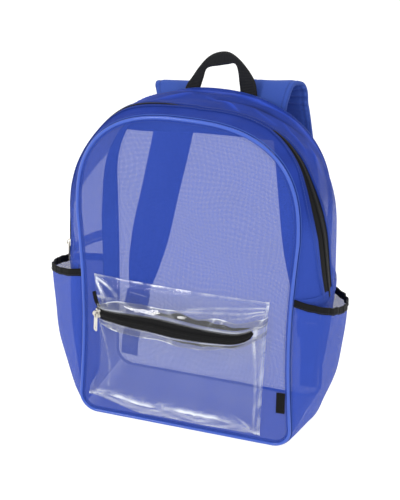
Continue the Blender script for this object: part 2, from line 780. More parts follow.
def ripple(tree, place, pitch, turn):
    """A wave along a place that turns by so much in each pitch."""
    cell = sum_of(tree, "DIVIDE", place, pitch)
    return sum_of(tree, "SINE", sum_of(tree, "MULTIPLY", cell, turn))


# Sockets of the mixing node that hold its factor, its two colours and its result
MIX_FACTOR = 0
MIX_A = 6
MIX_B = 7
MIX_RESULT = 2


def blend_colour(tree, factor, a, b, mode="MIX"):
    """Two colours mixed by a factor."""
    inputs = {MIX_FACTOR: factor, MIX_A: a, MIX_B: b}
    return put(tree, "ShaderNodeMix", inputs, data_type="RGBA", blend_type=mode).outputs[MIX_RESULT]


def start_group(name, inputs, outputs):
    """A node group with numbers as outputs, and as inputs numbers or, where none is given, a vector."""
    group = bpy.data.node_groups.new(name, "ShaderNodeTree")
    for key, value in inputs.items():
        kind = "NodeSocketVector" if value is None else "NodeSocketFloat"
        socket = group.interface.new_socket(key, in_out="INPUT", socket_type=kind)
        if value is not None:
            socket.default_value = value
    for key in outputs:
        group.interface.new_socket(key, in_out="OUTPUT", socket_type="NodeSocketFloat")
    return group, group.nodes.new("NodeGroupInput").outputs, group.nodes.new("NodeGroupOutput")


def group_once(make):
    """Builds a node group the first time it is asked for, under its function's name."""

    def get():
        name = make.__name__
        if name not in bpy.data.node_groups:
            make(name)
        return bpy.data.node_groups[name]

    return get


# Slow and fine sway of the net's threads: scale of the noise and reach in metres
SWAY = {"scale": (7.0, 900.0), "reach": (0.004, 0.00022)}


@group_once
def net_weave(name):
    """Fine open net with wavering threads: how much a place is covered, thread height and tone."""
    inputs = {"Place": None, "Pitch": 0.0005, "Thread": 0.35, "Veil": 0.30, "Body": 0.80}
    group, given, result = start_group(name, inputs, ("Cover", "Height", "Tone"))
    vector = "ShaderNodeVectorMath"
    place = given["Place"]
    for scale, reach in zip(*SWAY.values()):
        inputs = {"Vector": given["Place"], "Scale": scale, "Detail": 1.0}
        noise = put(group, "ShaderNodeTexNoise", inputs).outputs["Color"]
        centred = sum_of(group, "SUBTRACT", noise, (0.5, 0.5, 0.5), kind=vector)
        sway = sum_of(group, "MULTIPLY", centred, (reach, reach, 0.0), kind=vector)
        place = sum_of(group, "ADD", place, sway, kind=vector)
    split = put(group, "ShaderNodeSeparateXYZ", {"Vector": place}).outputs
    edge = sum_of(group, "SUBTRACT", 0.5, sum_of(group, "MULTIPLY", given["Thread"], 0.5))
    covers = []
    crowns = []
    cells = []
    for axis in ("X", "Y"):
        cell = sum_of(group, "DIVIDE", split[axis], given["Pitch"])
        off = sum_of(group, "ABSOLUTE", sum_of(group, "SUBTRACT", sum_of(group, "FRACT", cell), 0.5))
        covers.append(sum_of(group, "GREATER_THAN", off, edge))
        inputs = {"Value": off, "From Min": edge, "From Max": 0.5}
        crown = put(group, "ShaderNodeMapRange", inputs, interpolation_type="SMOOTHSTEP")
        crowns.append(crown.outputs["Result"])
        cells.append(ripple(group, split[axis], given["Pitch"], math.pi))
    rest = sum_of(group, "SUBTRACT", given["Body"], given["Veil"])
    outputs = {
        "Cover": sum_of(group, "MULTIPLY_ADD", sum_of(group, "MAXIMUM", *covers), rest, given["Veil"]),
        "Height": sum_of(group, "MAXIMUM", *crowns),
        "Tone": sum_of(group, "MULTIPLY_ADD", sum_of(group, "MULTIPLY", *cells), 0.12, 0.94),
    }
    feed(group, result, outputs)


@group_once
def tight_weave(name):
    """Close plain weave: height and tone of crossing threads."""
    group, given, result = start_group(name, {"Place": None, "Pitch": 0.0009}, ("Height", "Tone"))
    split = put(group, "ShaderNodeSeparateXYZ", {"Vector": given["Place"]}).outputs
    sines = [ripple(group, split[axis], given["Pitch"], math.pi) for axis in ("X", "Y")]
    cross = sum_of(group, "MULTIPLY", *sines)
    outputs = {
        "Height": sum_of(group, "MULTIPLY_ADD", cross, 0.5, 0.5),
        "Tone": sum_of(group, "MULTIPLY_ADD", cross, 0.10, 0.95),
    }
    feed(group, result, outputs)


@group_once
def band_ribs(name):
    """Ribs across a woven band, leaning one way on one half and back on the other."""
    inputs = {"Place": None, "Pitch": 0.0016, "Lean": 0.6}
    group, given, result = start_group(name, inputs, ("Height", "Tone"))
    split = put(group, "ShaderNodeSeparateXYZ", {"Vector": given["Place"]}).outputs
    place = sum_of(group, "ADD", split["X"], sum_of(group, "MULTIPLY", split["Y"], given["Lean"]))
    wave = ripple(group, place, given["Pitch"], 2 * math.pi)
    ply = ripple(group, split["Y"], sum_of(group, "MULTIPLY", given["Pitch"], 0.8), 2 * math.pi)
    both = sum_of(group, "MULTIPLY_ADD", ply, 0.35, wave)
    outputs = {
        "Height": sum_of(group, "MULTIPLY_ADD", both, 0.37, 0.5),
        "Tone": sum_of(group, "MULTIPLY_ADD", both, 0.10, 0.92),
    }
    feed(group, result, outputs)


@group_once
def tone_drift(name):
    """Slow change of tone over a surface, from dye, dust and handling, and a fine grain."""
    group, given, result = start_group(name, {"Scale": 18.0, "Amount": 0.1}, ("Tone", "Grain"))
    place = put(group, "ShaderNodeTexCoord").outputs["Object"]
    broad, fine = (
        put(group, "ShaderNodeTexNoise", {"Vector": place, "Scale": scale, "Detail": detail}).outputs["Fac"]
        for scale, detail in ((given["Scale"], 3.0), (900.0, 2.0))
    )
    doubled = sum_of(group, "MULTIPLY", sum_of(group, "SUBTRACT", broad, 0.5), 2.0)
    tone = sum_of(group, "MULTIPLY_ADD", doubled, given["Amount"], 1.0)
    feed(group, result, {"Tone": tone, "Grain": fine})


def use_group(tree, group, **inputs):
    """The outputs of a group placed in a material."""
    return put(tree, "ShaderNodeGroup", inputs, node_tree=group).outputs


def place_uv(tree):
    """Place on the cloth, in metres."""
    return put(tree, "ShaderNodeUVMap", uv_map="place").outputs["UV"]


def mark(tree, name):
    """A mark that a piece carries at its points, or 0."""
    return put(tree, "ShaderNodeAttribute", attribute_name=name).outputs["Fac"]


def tinted(tree, colour, *tones):
    """The colour times each tone."""
    for tone in tones:
        colour = blend_colour(tree, 1.0, colour, tone, "MULTIPLY")
    return colour


def bump(tree, shader, height, distance, strength):
    """Relief of a finish from its heights."""
    node = put(tree, "ShaderNodeBump", {"Height": height, "Distance": distance, "Strength": strength})
    feed(tree, shader, {"Normal": node.outputs["Normal"]})


# How red, green and blue fall where the mesh is close
DEEP_NET = (0.40, 0.47, 0.60)
# Mesh finishes: thread as a share of the pitch, how closed its gaps and its threads look, and tone
NETS = {
    "panel_net": {"thread": "panel_thread", "veil": 0.45, "body": 0.72, "tone": 1.0},
    "side_net": {"thread": "side_thread", "veil": 0.36, "body": 0.88, "tone": 0.95},
    "hem_net": {"thread": 0.62, "veil": 0.4, "body": 0.95, "tone": 0.8},
    "pocket_net": {"thread": 0.50, "veil": 0.42, "body": 0.88, "tone": 1.0},
}


def net_finish(tree, shader, thread, veil, body, tone):
    """See-through mesh fabric, closer where a piece is marked dense and lighter or darker where it folds."""
    share = getattr(sizes(), thread) if isinstance(thread, str) else thread
    threads = {"Pitch": sizes().net_pitch, "Thread": share, "Veil": veil, "Body": body}
    weave = use_group(tree, net_weave(), Place=place_uv(tree), **threads)
    drift = use_group(tree, tone_drift(), Scale=14.0, Amount=0.08)
    dense = mark(tree, "dense")
    lit = sum_of(tree, "ADD", mark(tree, "fold"), 1.0)
    shade = [c * tone for c in colours().net]
    deep = [c * d for c, d in zip(shade, DEEP_NET)]
    dyed = blend_colour(tree, dense, (*shade, 1.0), (*deep, 1.0))
    inputs = {
        "Base Color": tinted(tree, dyed, weave["Tone"], drift["Tone"], lit),
        "Alpha": sum_of(tree, "MAXIMUM", weave["Cover"], dense),
        "Roughness": 0.65,
        "Specular IOR Level": 0.06,
    }
    feed(tree, shader, inputs)
    bump(tree, shader, weave["Height"], 0.0001, 0.5)


# Film finishes: cover where the film is smooth, what a crease adds to it, and how grey the smooth film is
FILMS = {
    "film_lower": {"haze": 0.07, "whiten": 0.80, "grey": 0.8},
    "film_upper": {"haze": 0.04, "whiten": 0.80, "grey": 0.8},
    "weld_film": {"haze": 0.36, "whiten": 0.58, "grey": 0.10},
}


def film_finish(tree, shader, haze, whiten, grey):
    """Clear film: hazy where it creases, see-through where it lies smooth."""
    crease = mark(tree, "crease")
    drift = use_group(tree, tone_drift(), Scale=30.0, Amount=0.5)
    veil = sum_of(tree, "MULTIPLY", drift["Tone"], haze)
    alpha = sum_of(tree, "MULTIPLY_ADD", crease, whiten, veil)
    clear = [c * grey for c in colours().film]
    inputs = {
        "Base Color": blend_colour(tree, crease, (*clear, 1.0), (*colours().film, 1.0)),
        "Alpha": put(tree, "ShaderNodeClamp", {"Value": alpha}).outputs["Result"],
        "Roughness": sum_of(tree, "MULTIPLY_ADD", drift["Grain"], 0.06, 0.05),
        "IOR": 1.54,
        "Specular IOR Level": 1.0,
        "Coat Weight": 0.6,
        "Coat Roughness": 0.03,
    }
    feed(tree, shader, inputs)


# Close surfaces: drift as scale and amount, rough as grain's share and the rest, relief as depth and strength
KINDS = {
    "cloth": {
        "colour": "cloth",
        "drift": (22.0, 0.10),
        "weave": tight_weave,
        "pitch": 0.0009,
        "rough": (0.15, 0.62),
        "relief": (0.00025, 0.7),
        "plain": {
            "Specular IOR Level": 0.25,
            "Sheen Weight": 0.08,
            "Sheen Roughness": 0.5,
            "Sheen Tint": (0.35, 0.5, 1.0, 1.0),
        },
    },
    "vinyl": {
        "colour": "piping",
        "drift": (40.0, 0.08),
        "weave": band_ribs,
        "even": True,
        "pitch": 0.005,
        "lean": 0.4,
        "rough": (0.12, 0.24),
        "relief": (0.0002, 0.25),
        "plain": {"Specular IOR Level": 0.25, "Coat Roughness": 0.12},
    },
    "tape": {
        "colour": "tape",
        "drift": (60.0, 0.25),
        "weave": band_ribs,
        "lean": 1.0,
        "rough": (0.2, 0.55),
        "relief": (0.0003, 0.7),
        "plain": {"Specular IOR Level": 0.16},
    },
    "webbing": {
        "colour": "webbing",
        "drift": (45.0, 0.2),
        "weave": band_ribs,
        "pitch": 0.0021,
        "lean": 0.0,
        "rough": (0.2, 0.5),
        "relief": (0.0005, 0.8),
        "plain": {"Specular IOR Level": 0.3},
    },
    "thread": {
        "colour": "cloth",
        "weave": band_ribs,
        "pitch": 0.0008,
        "lean": 1.0,
        "relief": (0.0001, 0.6),
        "plain": {"Roughness": 0.55},
    },
    "coil": {
        "colour": "tape",
        "drift": (120.0, 0.2),
        "rough": (0.15, 0.42),
        "plain": {"Specular IOR Level": 0.22},
    },
    "moulded": {
        "colour": "webbing",
        "drift": (50.0, 0.15),
        "rough": (0.2, 0.34),
        "relief": (0.0001, 0.4),
        "plain": {},
    },
    "plated": {
        "colour": "metal",
        "drift": (160.0, 0.18),
        "rough": (0.2, 0.22),
        "relief": (0.00006, 0.4),
        "plain": {"Metallic": 1.0},
    },
    "floor": {
        "colour": "floor",
        "drift": (2.0, 0.01),
        "plain": {"Roughness": 0.8, "Emission Color": (1, 1, 1, 1), "Emission Strength": FLOOR_GLOW},
    },
}
# What each close finish is made of, and how it differs from others of its kind
CLOSE = {
    "yoke_cloth": {"kind": "cloth", "tone": 0.95},
    "seam_lip": {"kind": "cloth"},
    "facing_cloth": {"kind": "cloth", "tone": 0.9},
    "strap_cloth": {"kind": "cloth"},
    "strap_binding": {"kind": "cloth", "tone": 0.82},
    "blue_vinyl": {"kind": "vinyl", "coat": 0.5},
    "back_vinyl": {"kind": "vinyl", "tone": 0.55, "coat": 0.05},
    "zip_tape": {"kind": "tape", "pitch": 0.0016},
    "elastic_tape": {"kind": "tape", "pitch": 0.0024},
    "label_tape": {"kind": "tape", "pitch": 0.0007},
    "black_webbing": {"kind": "webbing"},
    "black_coil": {"kind": "coil"},
    "black_plastic": {"kind": "moulded"},
    "plated_metal": {"kind": "plated"},
    "blue_thread": {"kind": "thread", "tone": 0.8},
    "dark_thread": {"kind": "thread", "tone": 0.12},
    "pale_thread": {"kind": "thread", "tone": 1.25},
    "pale_floor": {"kind": "floor"},
}


def close_finish(tree, shader, kind, tone=1.0, **own):
    """A close surface: its colour with weave and drift, its grain in the roughness, and its relief."""
    look = {**KINDS[kind], **own}
    inputs = dict(look["plain"])
    tones = []
    height = None
    if "weave" in look:
        threads = {key.capitalize(): look[key] for key in ("pitch", "lean") if key in look}
        weave = use_group(tree, look["weave"](), Place=place_uv(tree), **threads)
        height = weave["Height"]
        if "even" not in look:
            tones.append(weave["Tone"])
    if "drift" in look:
        scale, amount = look["drift"]
        drift = use_group(tree, tone_drift(), Scale=scale, Amount=amount)
        height = drift["Grain"] if height is None else height
        tones.append(drift["Tone"])
    if "rough" in look:
        inputs["Roughness"] = sum_of(tree, "MULTIPLY_ADD", drift["Grain"], *look["rough"])
    if "coat" in look:
        inputs["Coat Weight"] = look["coat"]
    if "relief" in look:
        bump(tree, shader, height, *look["relief"])
    shade = [c * tone for c in getattr(colours(), look["colour"])]
    inputs["Base Color"] = tinted(tree, (*shade, 1.0), *tones)
    feed(tree, shader, inputs)


FINISHES = {}
MAKERS = ((NETS, net_finish), (FILMS, film_finish), (CLOSE, close_finish))


def finish(name):
    """The finish of that name, made the first time it is asked for."""
    if name not in FINISHES:
        table, make = next(row for row in MAKERS if name in row[0])
        material, tree, shader = node_tree(name)
        make(tree, shader, **table[name])
        FINISHES[name] = material
    return FINISHES[name]


def clad(piece, name):
    """Gives a piece or a solid one finish all over."""
    piece.data.materials.clear()
    piece.data.materials.append(finish(name))


def dress(piece, name, slot, *nodes):
    """Gives a piece its finish, its place on the bag and the solids that it stands for."""
    clad(piece, name)
    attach(piece, BODY)
    if nodes:
        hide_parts(*nodes)


# A stitch's length as a share of the distance between stitches, and a coil's half thickness likewise
STITCH_FILL = 0.74
COIL_FILL = 0.42


def sew(name, line, out, thread="blue_thread", pitch=None, radius=0.32):
    """A row of stitches along a line; out is the surface's normal, one for all or one at each point."""
    pitch = sizes().stitch / MM if pitch is None else pitch
    places, normal = spaced(line, np.broadcast_to(out, line.shape), pitch)
    piece = make_beads(name, places, tangents(places), normal, pitch * STITCH_FILL, radius)
    dress(piece, thread, "cloth")
    return piece


def lay_coil(name, line, out, length, flat):
    """The coil of a zip along a line."""
    pitch = sizes().tooth / MM
    places, normal = spaced(line, out, pitch)
    across = np.cross(tangents(places), normal)
    piece = make_beads(name, places, across, normal, length, pitch * COIL_FILL, flat=flat, rings=5)
    dress(piece, "black_coil", "tape")


def outline_stations(step):
    """Stations right round a seam, so many to each whole one."""
    return np.arange(-TOP * step, TOP * step) / step


CORD_SIDES = 14


def seam_tube(name, seam, radius, y, inset):
    """Round piping along a whole seam."""
    k = outline_stations(6)
    x, z = seam_inset(seam, k, inset)
    z = np.maximum(z, radius + 0.1)
    line = np.stack([x, np.full(len(k), y), z], axis=-1)
    nx, nz = seam_outward(seam, k, 0.3)
    wide = np.stack([nx, 0 * nx, nz], axis=-1)
    swell = 1 + 0.035 * waves(3, 18, 60)(along_line(line), 0 * k)
    section = round_section(radius, CORD_SIDES)[None] * swell[:, None, None]
    around = np.arange(CORD_SIDES) / CORD_SIDES * 2 * math.pi * radius
    return make_sweep(name, line, wide, BACKWARD, section, loop=True, places=around)


class BAG_OT_stage(bpy.types.Operator):
    """Camera, soft studio light and a pale floor"""

    bl_idname = "bag.stage"
    bl_label = "Stage"

    def execute(self, context):
        scene = context.scene
        turn, pitch, roll = (math.radians(a) for a in (CAMERA_TURN, CAMERA_PITCH, CAMERA_ROLL))
        right = Vector((math.cos(turn), math.sin(turn), 0))
        level = Vector((-math.sin(turn), math.cos(turn), 0))
        ahead = level * math.cos(pitch) - Vector((0, 0, math.sin(pitch)))
        up = level * math.sin(pitch) + Vector((0, 0, math.cos(pitch)))
        side = right * math.cos(roll) + up * math.sin(roll)
        top = up * math.cos(roll) - right * math.sin(roll)
        data = bpy.data.cameras.new("view")
        data.lens = CAMERA_LENS
        data.sensor_width = CAMERA_SENSOR
        data.clip_start = CAMERA_NEAR
        data.clip_end = CAMERA_FAR
        camera = bpy.data.objects.new("view", data)
        camera.matrix_world = Matrix(
            [(side[i], top[i], -ahead[i], CAMERA_PLACE[i]) for i in range(3)] + [(0, 0, 0, 1)]
        )
        scene.collection.objects.link(camera)
        scene.camera = camera
        world = bpy.data.worlds.new("studio")
        world.use_nodes = True
        background = world.node_tree.nodes["Background"]
        background.inputs["Color"].default_value = (1, 1, 1, 1)
        background.inputs["Strength"].default_value = 1.0
        scene.world = world
        for name, place, target, size, power in zip(*LAMPS.values()):
            lamp = bpy.data.lights.new(name, "AREA")
            lamp.shape = "DISK"
            lamp.size = size
            lamp.energy = power
            holder = bpy.data.objects.new(name, lamp)
            holder.location = place
            aim = Vector(target) - Vector(place)
            holder.rotation_euler = aim.to_track_quat("-Z", "Y").to_euler()
            scene.collection.objects.link(holder)
        corners = np.array([(-1, -1), (1, -1), (1, 1), (-1, 1)])
        points = [(x * FLOOR_REACH, y * FLOOR_REACH, FLOOR_LEVEL) for x, y in corners]
        floor = build_mesh("floor", points, [[0, 1, 2, 3]], (corners + 1) / 2)
        clad(floor, "pale_floor")
        scene.view_settings.view_transform = "Standard"
        scene.cycles.transparent_max_bounces = CLEAR_LAYERS
        scene.cycles.max_bounces = LIGHT_BOUNCES
        return {"FINISHED"}


# Rows of stitches in the yoke: height above its lower edge, and the side of the cloth
YOKE_STITCH = {"drop": (2.5, 8.5, 5.5), "side": (1, 1, -1)}


class BAG_OT_panels(bpy.types.Operator):
    """Front and back mesh panels and the solid yoke"""

    bl_idname = "bag.panels"
    bl_label = "Panels"

    def execute(self, context):
        self.front()
        self.back()
        self.yoke()
        return {"FINISHED"}

    @staticmethod
    def ringed(name, x, y, z):
        """A panel of rings that shrink from its outline to its middle."""
        rows, columns = x.shape
        points = np.stack([x, y, z], axis=-1).reshape(-1, 3)
        uvs = points[:, (0, 2)] * MM
        faces = grid_faces(rows, columns, loop_columns=True)
        faces.append(list(range(columns))[::-1])
        return build_mesh(name, points, faces, uvs)

    def front(self):
        """Crowned mesh of the front."""
        share = np.linspace(0.02, 1, 36)[:, None]
        x, z = seam_inset(FRONT_SEAM, outline_stations(5)[None], FRONT_PANEL_EDGE)
        x, z = x * share, mix(CROWN_MIDDLE, z, share)
        slack = waves(11, 70, 190)(x, z) * (1 - share**4)
        y = front_face(x, z) + CLOTH / 2 + 1.1 * (slack + 1.2) * (1 - share**6)
        piece = self.ringed("mesh_front", x, y, z)
        dress(piece, "panel_net", "mesh", "front_panel")

    def back(self):
        """Flat mesh of the back, below the yoke."""
        x, z = seam_inset(BACK_SEAM, outline_stations(5), BACK_PANEL_EDGE)
        z = np.minimum(z, YOKE_LEVEL + yoke_rise(x))
        share = np.linspace(0.02, 1, 32)[:, None]
        x, z = x[None] * share, mix(BACK_MIDDLE, z[None], share)
        slack = waves(12, 80, 200)(x, z)
        y = BACK_FACE - CLOTH / 2 + 0.9 * slack * (1 - share**4)
        piece = self.ringed("mesh_back", x, y, z)
        dress(piece, "panel_net", "mesh", "back_panel")

    def yoke(self):
        """Solid cloth across the top of the back, with its stitches."""
        level = np.linspace(YOKE_LEVEL, YOKE_TOP, 26)
        k = np.linspace(SIDE_END, TOP, 600)
        ex, ez = seam_inset(BACK_SEAM, k, BACK_PANEL_EDGE)
        share = (YOKE_TOP - level) / (YOKE_TOP - YOKE_LEVEL)
        left = np.interp(level, ez, ex)
        right = np.interp(level + share * yoke_rise(left), ez, ex)
        s = np.linspace(-1, 1, 60)
        x = np.where(s > 0, right[:, None], left[:, None]) * s
        z = level[:, None] + share[:, None] * yoke_rise(x)
        slack = 0.4 * waves(13, 40, 110)(x, z)
        outer = np.stack([x, BACK_FACE - 0.2 + 0 * x + 0.25 * slack, z], axis=-1)
        inner = np.stack([x, BACK_FACE - CLOTH + 0 * x + 0.25 * slack, z], axis=-1)
        piece = make_wall("yoke_cloth", outer, inner, outer[..., (0, 2)] * MM)
        dress(piece, "yoke_cloth", "cloth", "back_yoke")
        for row, (drop, side) in enumerate(zip(*YOKE_STITCH.values())):
            level = YOKE_LEVEL + drop
            left, right = (np.interp(level + yoke_rise(reach), ez, ex) - 4 for reach in (-120, 120))
            x = np.linspace(-left, right, 80)
            y = BACK_FACE + 0.05 if side > 0 else BACK_FACE - CLOTH - 0.15
            line = np.stack([x, np.full(80, y), level + yoke_rise(x)], axis=-1)
            sew(f"yoke_stitch_{row}", line, side * BACKWARD)


# Section of the edges turned in along a seam: distance from the seam, plus a share of the width, and depth
SEAM_EDGES = {
    "inset": (-0.1, 1.2, 2.4, 2.4, 2.4),
    "share": (0, 0, 0, 0.6, 1),
    "deep": (0.6, 0.5, 0.3, 0.4, 0.4),
}


class BAG_OT_seams(bpy.types.Operator):
    """Piping in both seams, seam tapes inside and rows of stitching"""

    bl_idname = "bag.seams"
    bl_label = "Seams"

    def execute(self, context):
        front = seam_tube("seam_piping_front", FRONT_SEAM, FRONT_CORD, FRONT_PIPE_Y, FRONT_PIPE + GAP)
        dress(front, "blue_vinyl", "piping", "front_piping")
        back = seam_tube("seam_piping_back", BACK_SEAM, BACK_PIPE, BACK_PIPE_Y, BACK_PIPE + GAP)
        dress(back, "back_vinyl", "piping", "back_piping")
        lip = seam_tube("seam_lip_front", FRONT_SEAM, 0.8, -DEPTH / 2 + 0.2, 0.1)
        dress(lip, "seam_lip", "cloth")
        self.seam_tape("seam_tape_front", FRONT_SEAM, -DEPTH / 2 - 0.5, 1, 5.2)
        self.seam_tape("seam_tape_back", BACK_SEAM, DEPTH / 2 + 0.5, -1, 2.0)
        self.stitches("seam_stitch_front", FRONT_SEAM, FRONT_STITCH_EDGE, -1)
        self.stitches("seam_stitch_back", BACK_SEAM, BACK_STITCH_EDGE, 1)
        return {"FINISHED"}

    @staticmethod
    def seam_tape(name, seam, y, inward, width):
        """Edges of the mesh turned in along a seam, seen through it as a darker line."""
        k = np.append(outline_stations(5), TOP)
        rows = []
        for start, share, deep in zip(*SEAM_EDGES.values()):
            inset = start + share * width
            x, z = seam_inset(seam, k, inset)
            ripples = 0.3 * ease(2, 5, inset) * waves(21, 14, 40)(k * 9, 0 * k + inset)
            rows.append(np.stack([x, y + inward * (deep + ripples), np.maximum(z, 0.15)], axis=-1))
        dress(make_sheet(name, np.array(rows)), "hem_net", "mesh")

    @staticmethod
    def stitches(name, seam, inset, side):
        """Stitches beside a seam, right round it."""
        k = np.append(outline_stations(6), TOP)
        x, z = seam_inset(seam, k, inset)
        y = front_face(x, z) - 0.1 if side < 0 else np.full(len(k), BACK_FACE + 0.1)
        sew(name, np.stack([x, y, z], axis=-1), side * BACKWARD, radius=HEM_THREAD)


# Length of a station along the gusset where its cloth folds, and seeds of the lower and upper folds
FOLD_STEP = 26
LOWER_SEED = 31
UPPER_SEED = 35
UPPER_SHARE = 0.8


def gusset_folds(k, v, seed):
    """Puckers beside the seams and slow folds between them, always inward."""
    along = np.asarray(k, float) * FOLD_STEP
    across = np.asarray(v, float) * GUSSET_ARC
    edge = np.exp(-across / 16) + np.exp(-(GUSSET_ARC - across) / 16)
    pucker = (waves(seed, 11, 26)(along, 0.15 * across) + 1.4) * 0.5 * edge
    slow = (waves(seed + 1, 60, 170)(along, across) + 1.5) * 0.8
    rim = np.minimum(across, GUSSET_ARC - across)
    over = ease(15, 18, np.minimum(k % (2 * TOP), -k % (2 * TOP)))
    ridge = waves(seed + 2, 34, 80)(0.55 * along + 0.9 * across, 0.25 * across)
    ridge = (ridge + 1.3) * 1.1 * over
    return (pucker + slow + ridge) * ease(0, 9, rim)


# Folds of the slack mesh over the top: ends as station and share of the depth, bow, width, height and tone
TOP_FOLDS = {
    "k0": (27.4, 25.1, 24.6, 29.2, 23.4, 29.6, 20.6, 22.6, 27.0, 25.6, 31.5, 18.6),
    "v0": (0.36, 0.66, 0.69, 0.92, 0.39, 0.45, 0.62, 0.62, 0.60, 0.34, 0.50, 0.70),
    "k1": (25.9, 23.3, 19.3, 16.6, 20.0, 28.0, 18.4, 21.0, 25.3, 23.6, 29.8, 16.8),
    "v1": (0.78, 0.40, 0.76, 0.93, 0.38, 0.70, 0.46, 0.50, 0.82, 0.30, 0.66, 0.52),
    "bow": (4, -5, 6, 3, 8, 4, 5, 4, -6, 3, 4, 5),
    "wide": (3.6, 2.8, 5.0, 7.0, 2.4, 4.0, 3.2, 2.8, 3.6, 2.8, 5.0, 4.0),
    "high": (2.4, 2.2, -2.2, 1.5, -1.6, 1.8, 1.8, 1.4, -1.8, 1.0, 1.8, 1.4),
    "tone": (0.30, 0.38, -0.22, 0.42, -0.20, 0.28, 0.26, 0.22, -0.20, 0.18, 0.22, 0.2),
}
STATION_STEP = 24
# How closed doubled mesh looks, and the heights between which it closes
DOUBLED = 0.93
DOUBLED_FROM = 290
DOUBLED_TO = 345
# Slanting lower edge of the doubled cloth at the left shoulder: height at a share of the depth, and slope
DOUBLE_EDGE = {"z": 297, "v": 0.61, "slope": 105}
# Dark fold of the left shoulder: heights between which it comes and goes, and tone
LEFT_FOLD = {"comes": (325, 360), "goes": (385, 410), "tone": 0.36}
# Turned hem beside the zip's slot: distance from the slot, and lift
ZIP_HEM = {"off": (0.0, -0.4, 3.0, 7.0, 7.4), "lift": (-0.9, 0.15, 0.35, 0.1, -0.5)}
HEM_SEAM = 5.2
HEM_TOP = 0.45
# Band over the join of the zip's strips and the lower gusset: station and lift
JOIN = {"k": (11.72, 11.75, 12.0, 12.25, 12.28), "lift": (-0.6, 0.15, 0.4, 0.15, -0.6)}
JOIN_SEAM = 12.12


def line_distance(x, y, start, end, bow):
    """How far points lie from a bowed line, and their share along it."""
    dx, dy = end[0] - start[0], end[1] - start[1]
    length = math.hypot(dx, dy)
    t = np.clip(((x - start[0]) * dx + (y - start[1]) * dy) / length**2, 0, 1)
    curve = bow * 4 * t * (1 - t)
    off_x = x - start[0] - dx * t + curve * dy / length
    off_y = y - start[1] - dy * t - curve * dx / length
    away = np.hypot(off_x, off_y)
    return away, t, length


def top_folds(k, v):
    """Height and tone of the folds over the top."""
    x = np.asarray(k, float) * STATION_STEP
    y = np.asarray(v, float) * GUSSET_ARC
    high = np.zeros(np.shape(x))
    tone = np.zeros(np.shape(x))
    for k0, v0, k1, v1, bow, wide, rise, shade in zip(*TOP_FOLDS.values()):
        start = (k0 * STATION_STEP, v0 * GUSSET_ARC)
        end = (k1 * STATION_STEP, v1 * GUSSET_ARC)
        away, t, _ = line_distance(x, y, start, end, bow)
        ridge = hump(away, wide) * (0.35 + 0.65 * np.sin(math.pi * np.clip(t, 0.05, 0.95)))
        high = high + rise * ridge
        tone = tone + shade * ridge
    slow = waves(38, 30, 90)(x, y) * 0.07
    return high, 2.7 * tone + slow


def strip_drawn(k, v):
    """How far the slack mesh beside the zip stands up or is drawn in, and its tone."""
    high, tone = top_folds(k, v)
    return high * ease(0, 6, (1 - v) * GUSSET_ARC) - UPPER_SHARE * gusset_folds(k, v, UPPER_SEED), tone


def freed(slot):
    """How freely the cloth folds at a distance from the zip's slot."""
    return ease(2, 22, slot)


def dense_above(points):
    """How closed the mesh looks: near the top, where it is doubled and seen along its threads."""
    return DOUBLED * ease(DOUBLED_FROM, DOUBLED_TO, points[..., 2])


def left_double(points, v):
    """How closed the left half is: the slack cloth lies double above a slanting edge."""
    edge = DOUBLE_EDGE["z"] + DOUBLE_EDGE["slope"] * (v - DOUBLE_EDGE["v"])
    return DOUBLED * ease(-3, 4, points[..., 2] - edge)


def left_fold(points):
    """How dark the fold of the left shoulder is."""
    z = points[..., 2]
    return LEFT_FOLD["tone"] * (ease(*LEFT_FOLD["comes"], z) * (1 - ease(*LEFT_FOLD["goes"], z)))


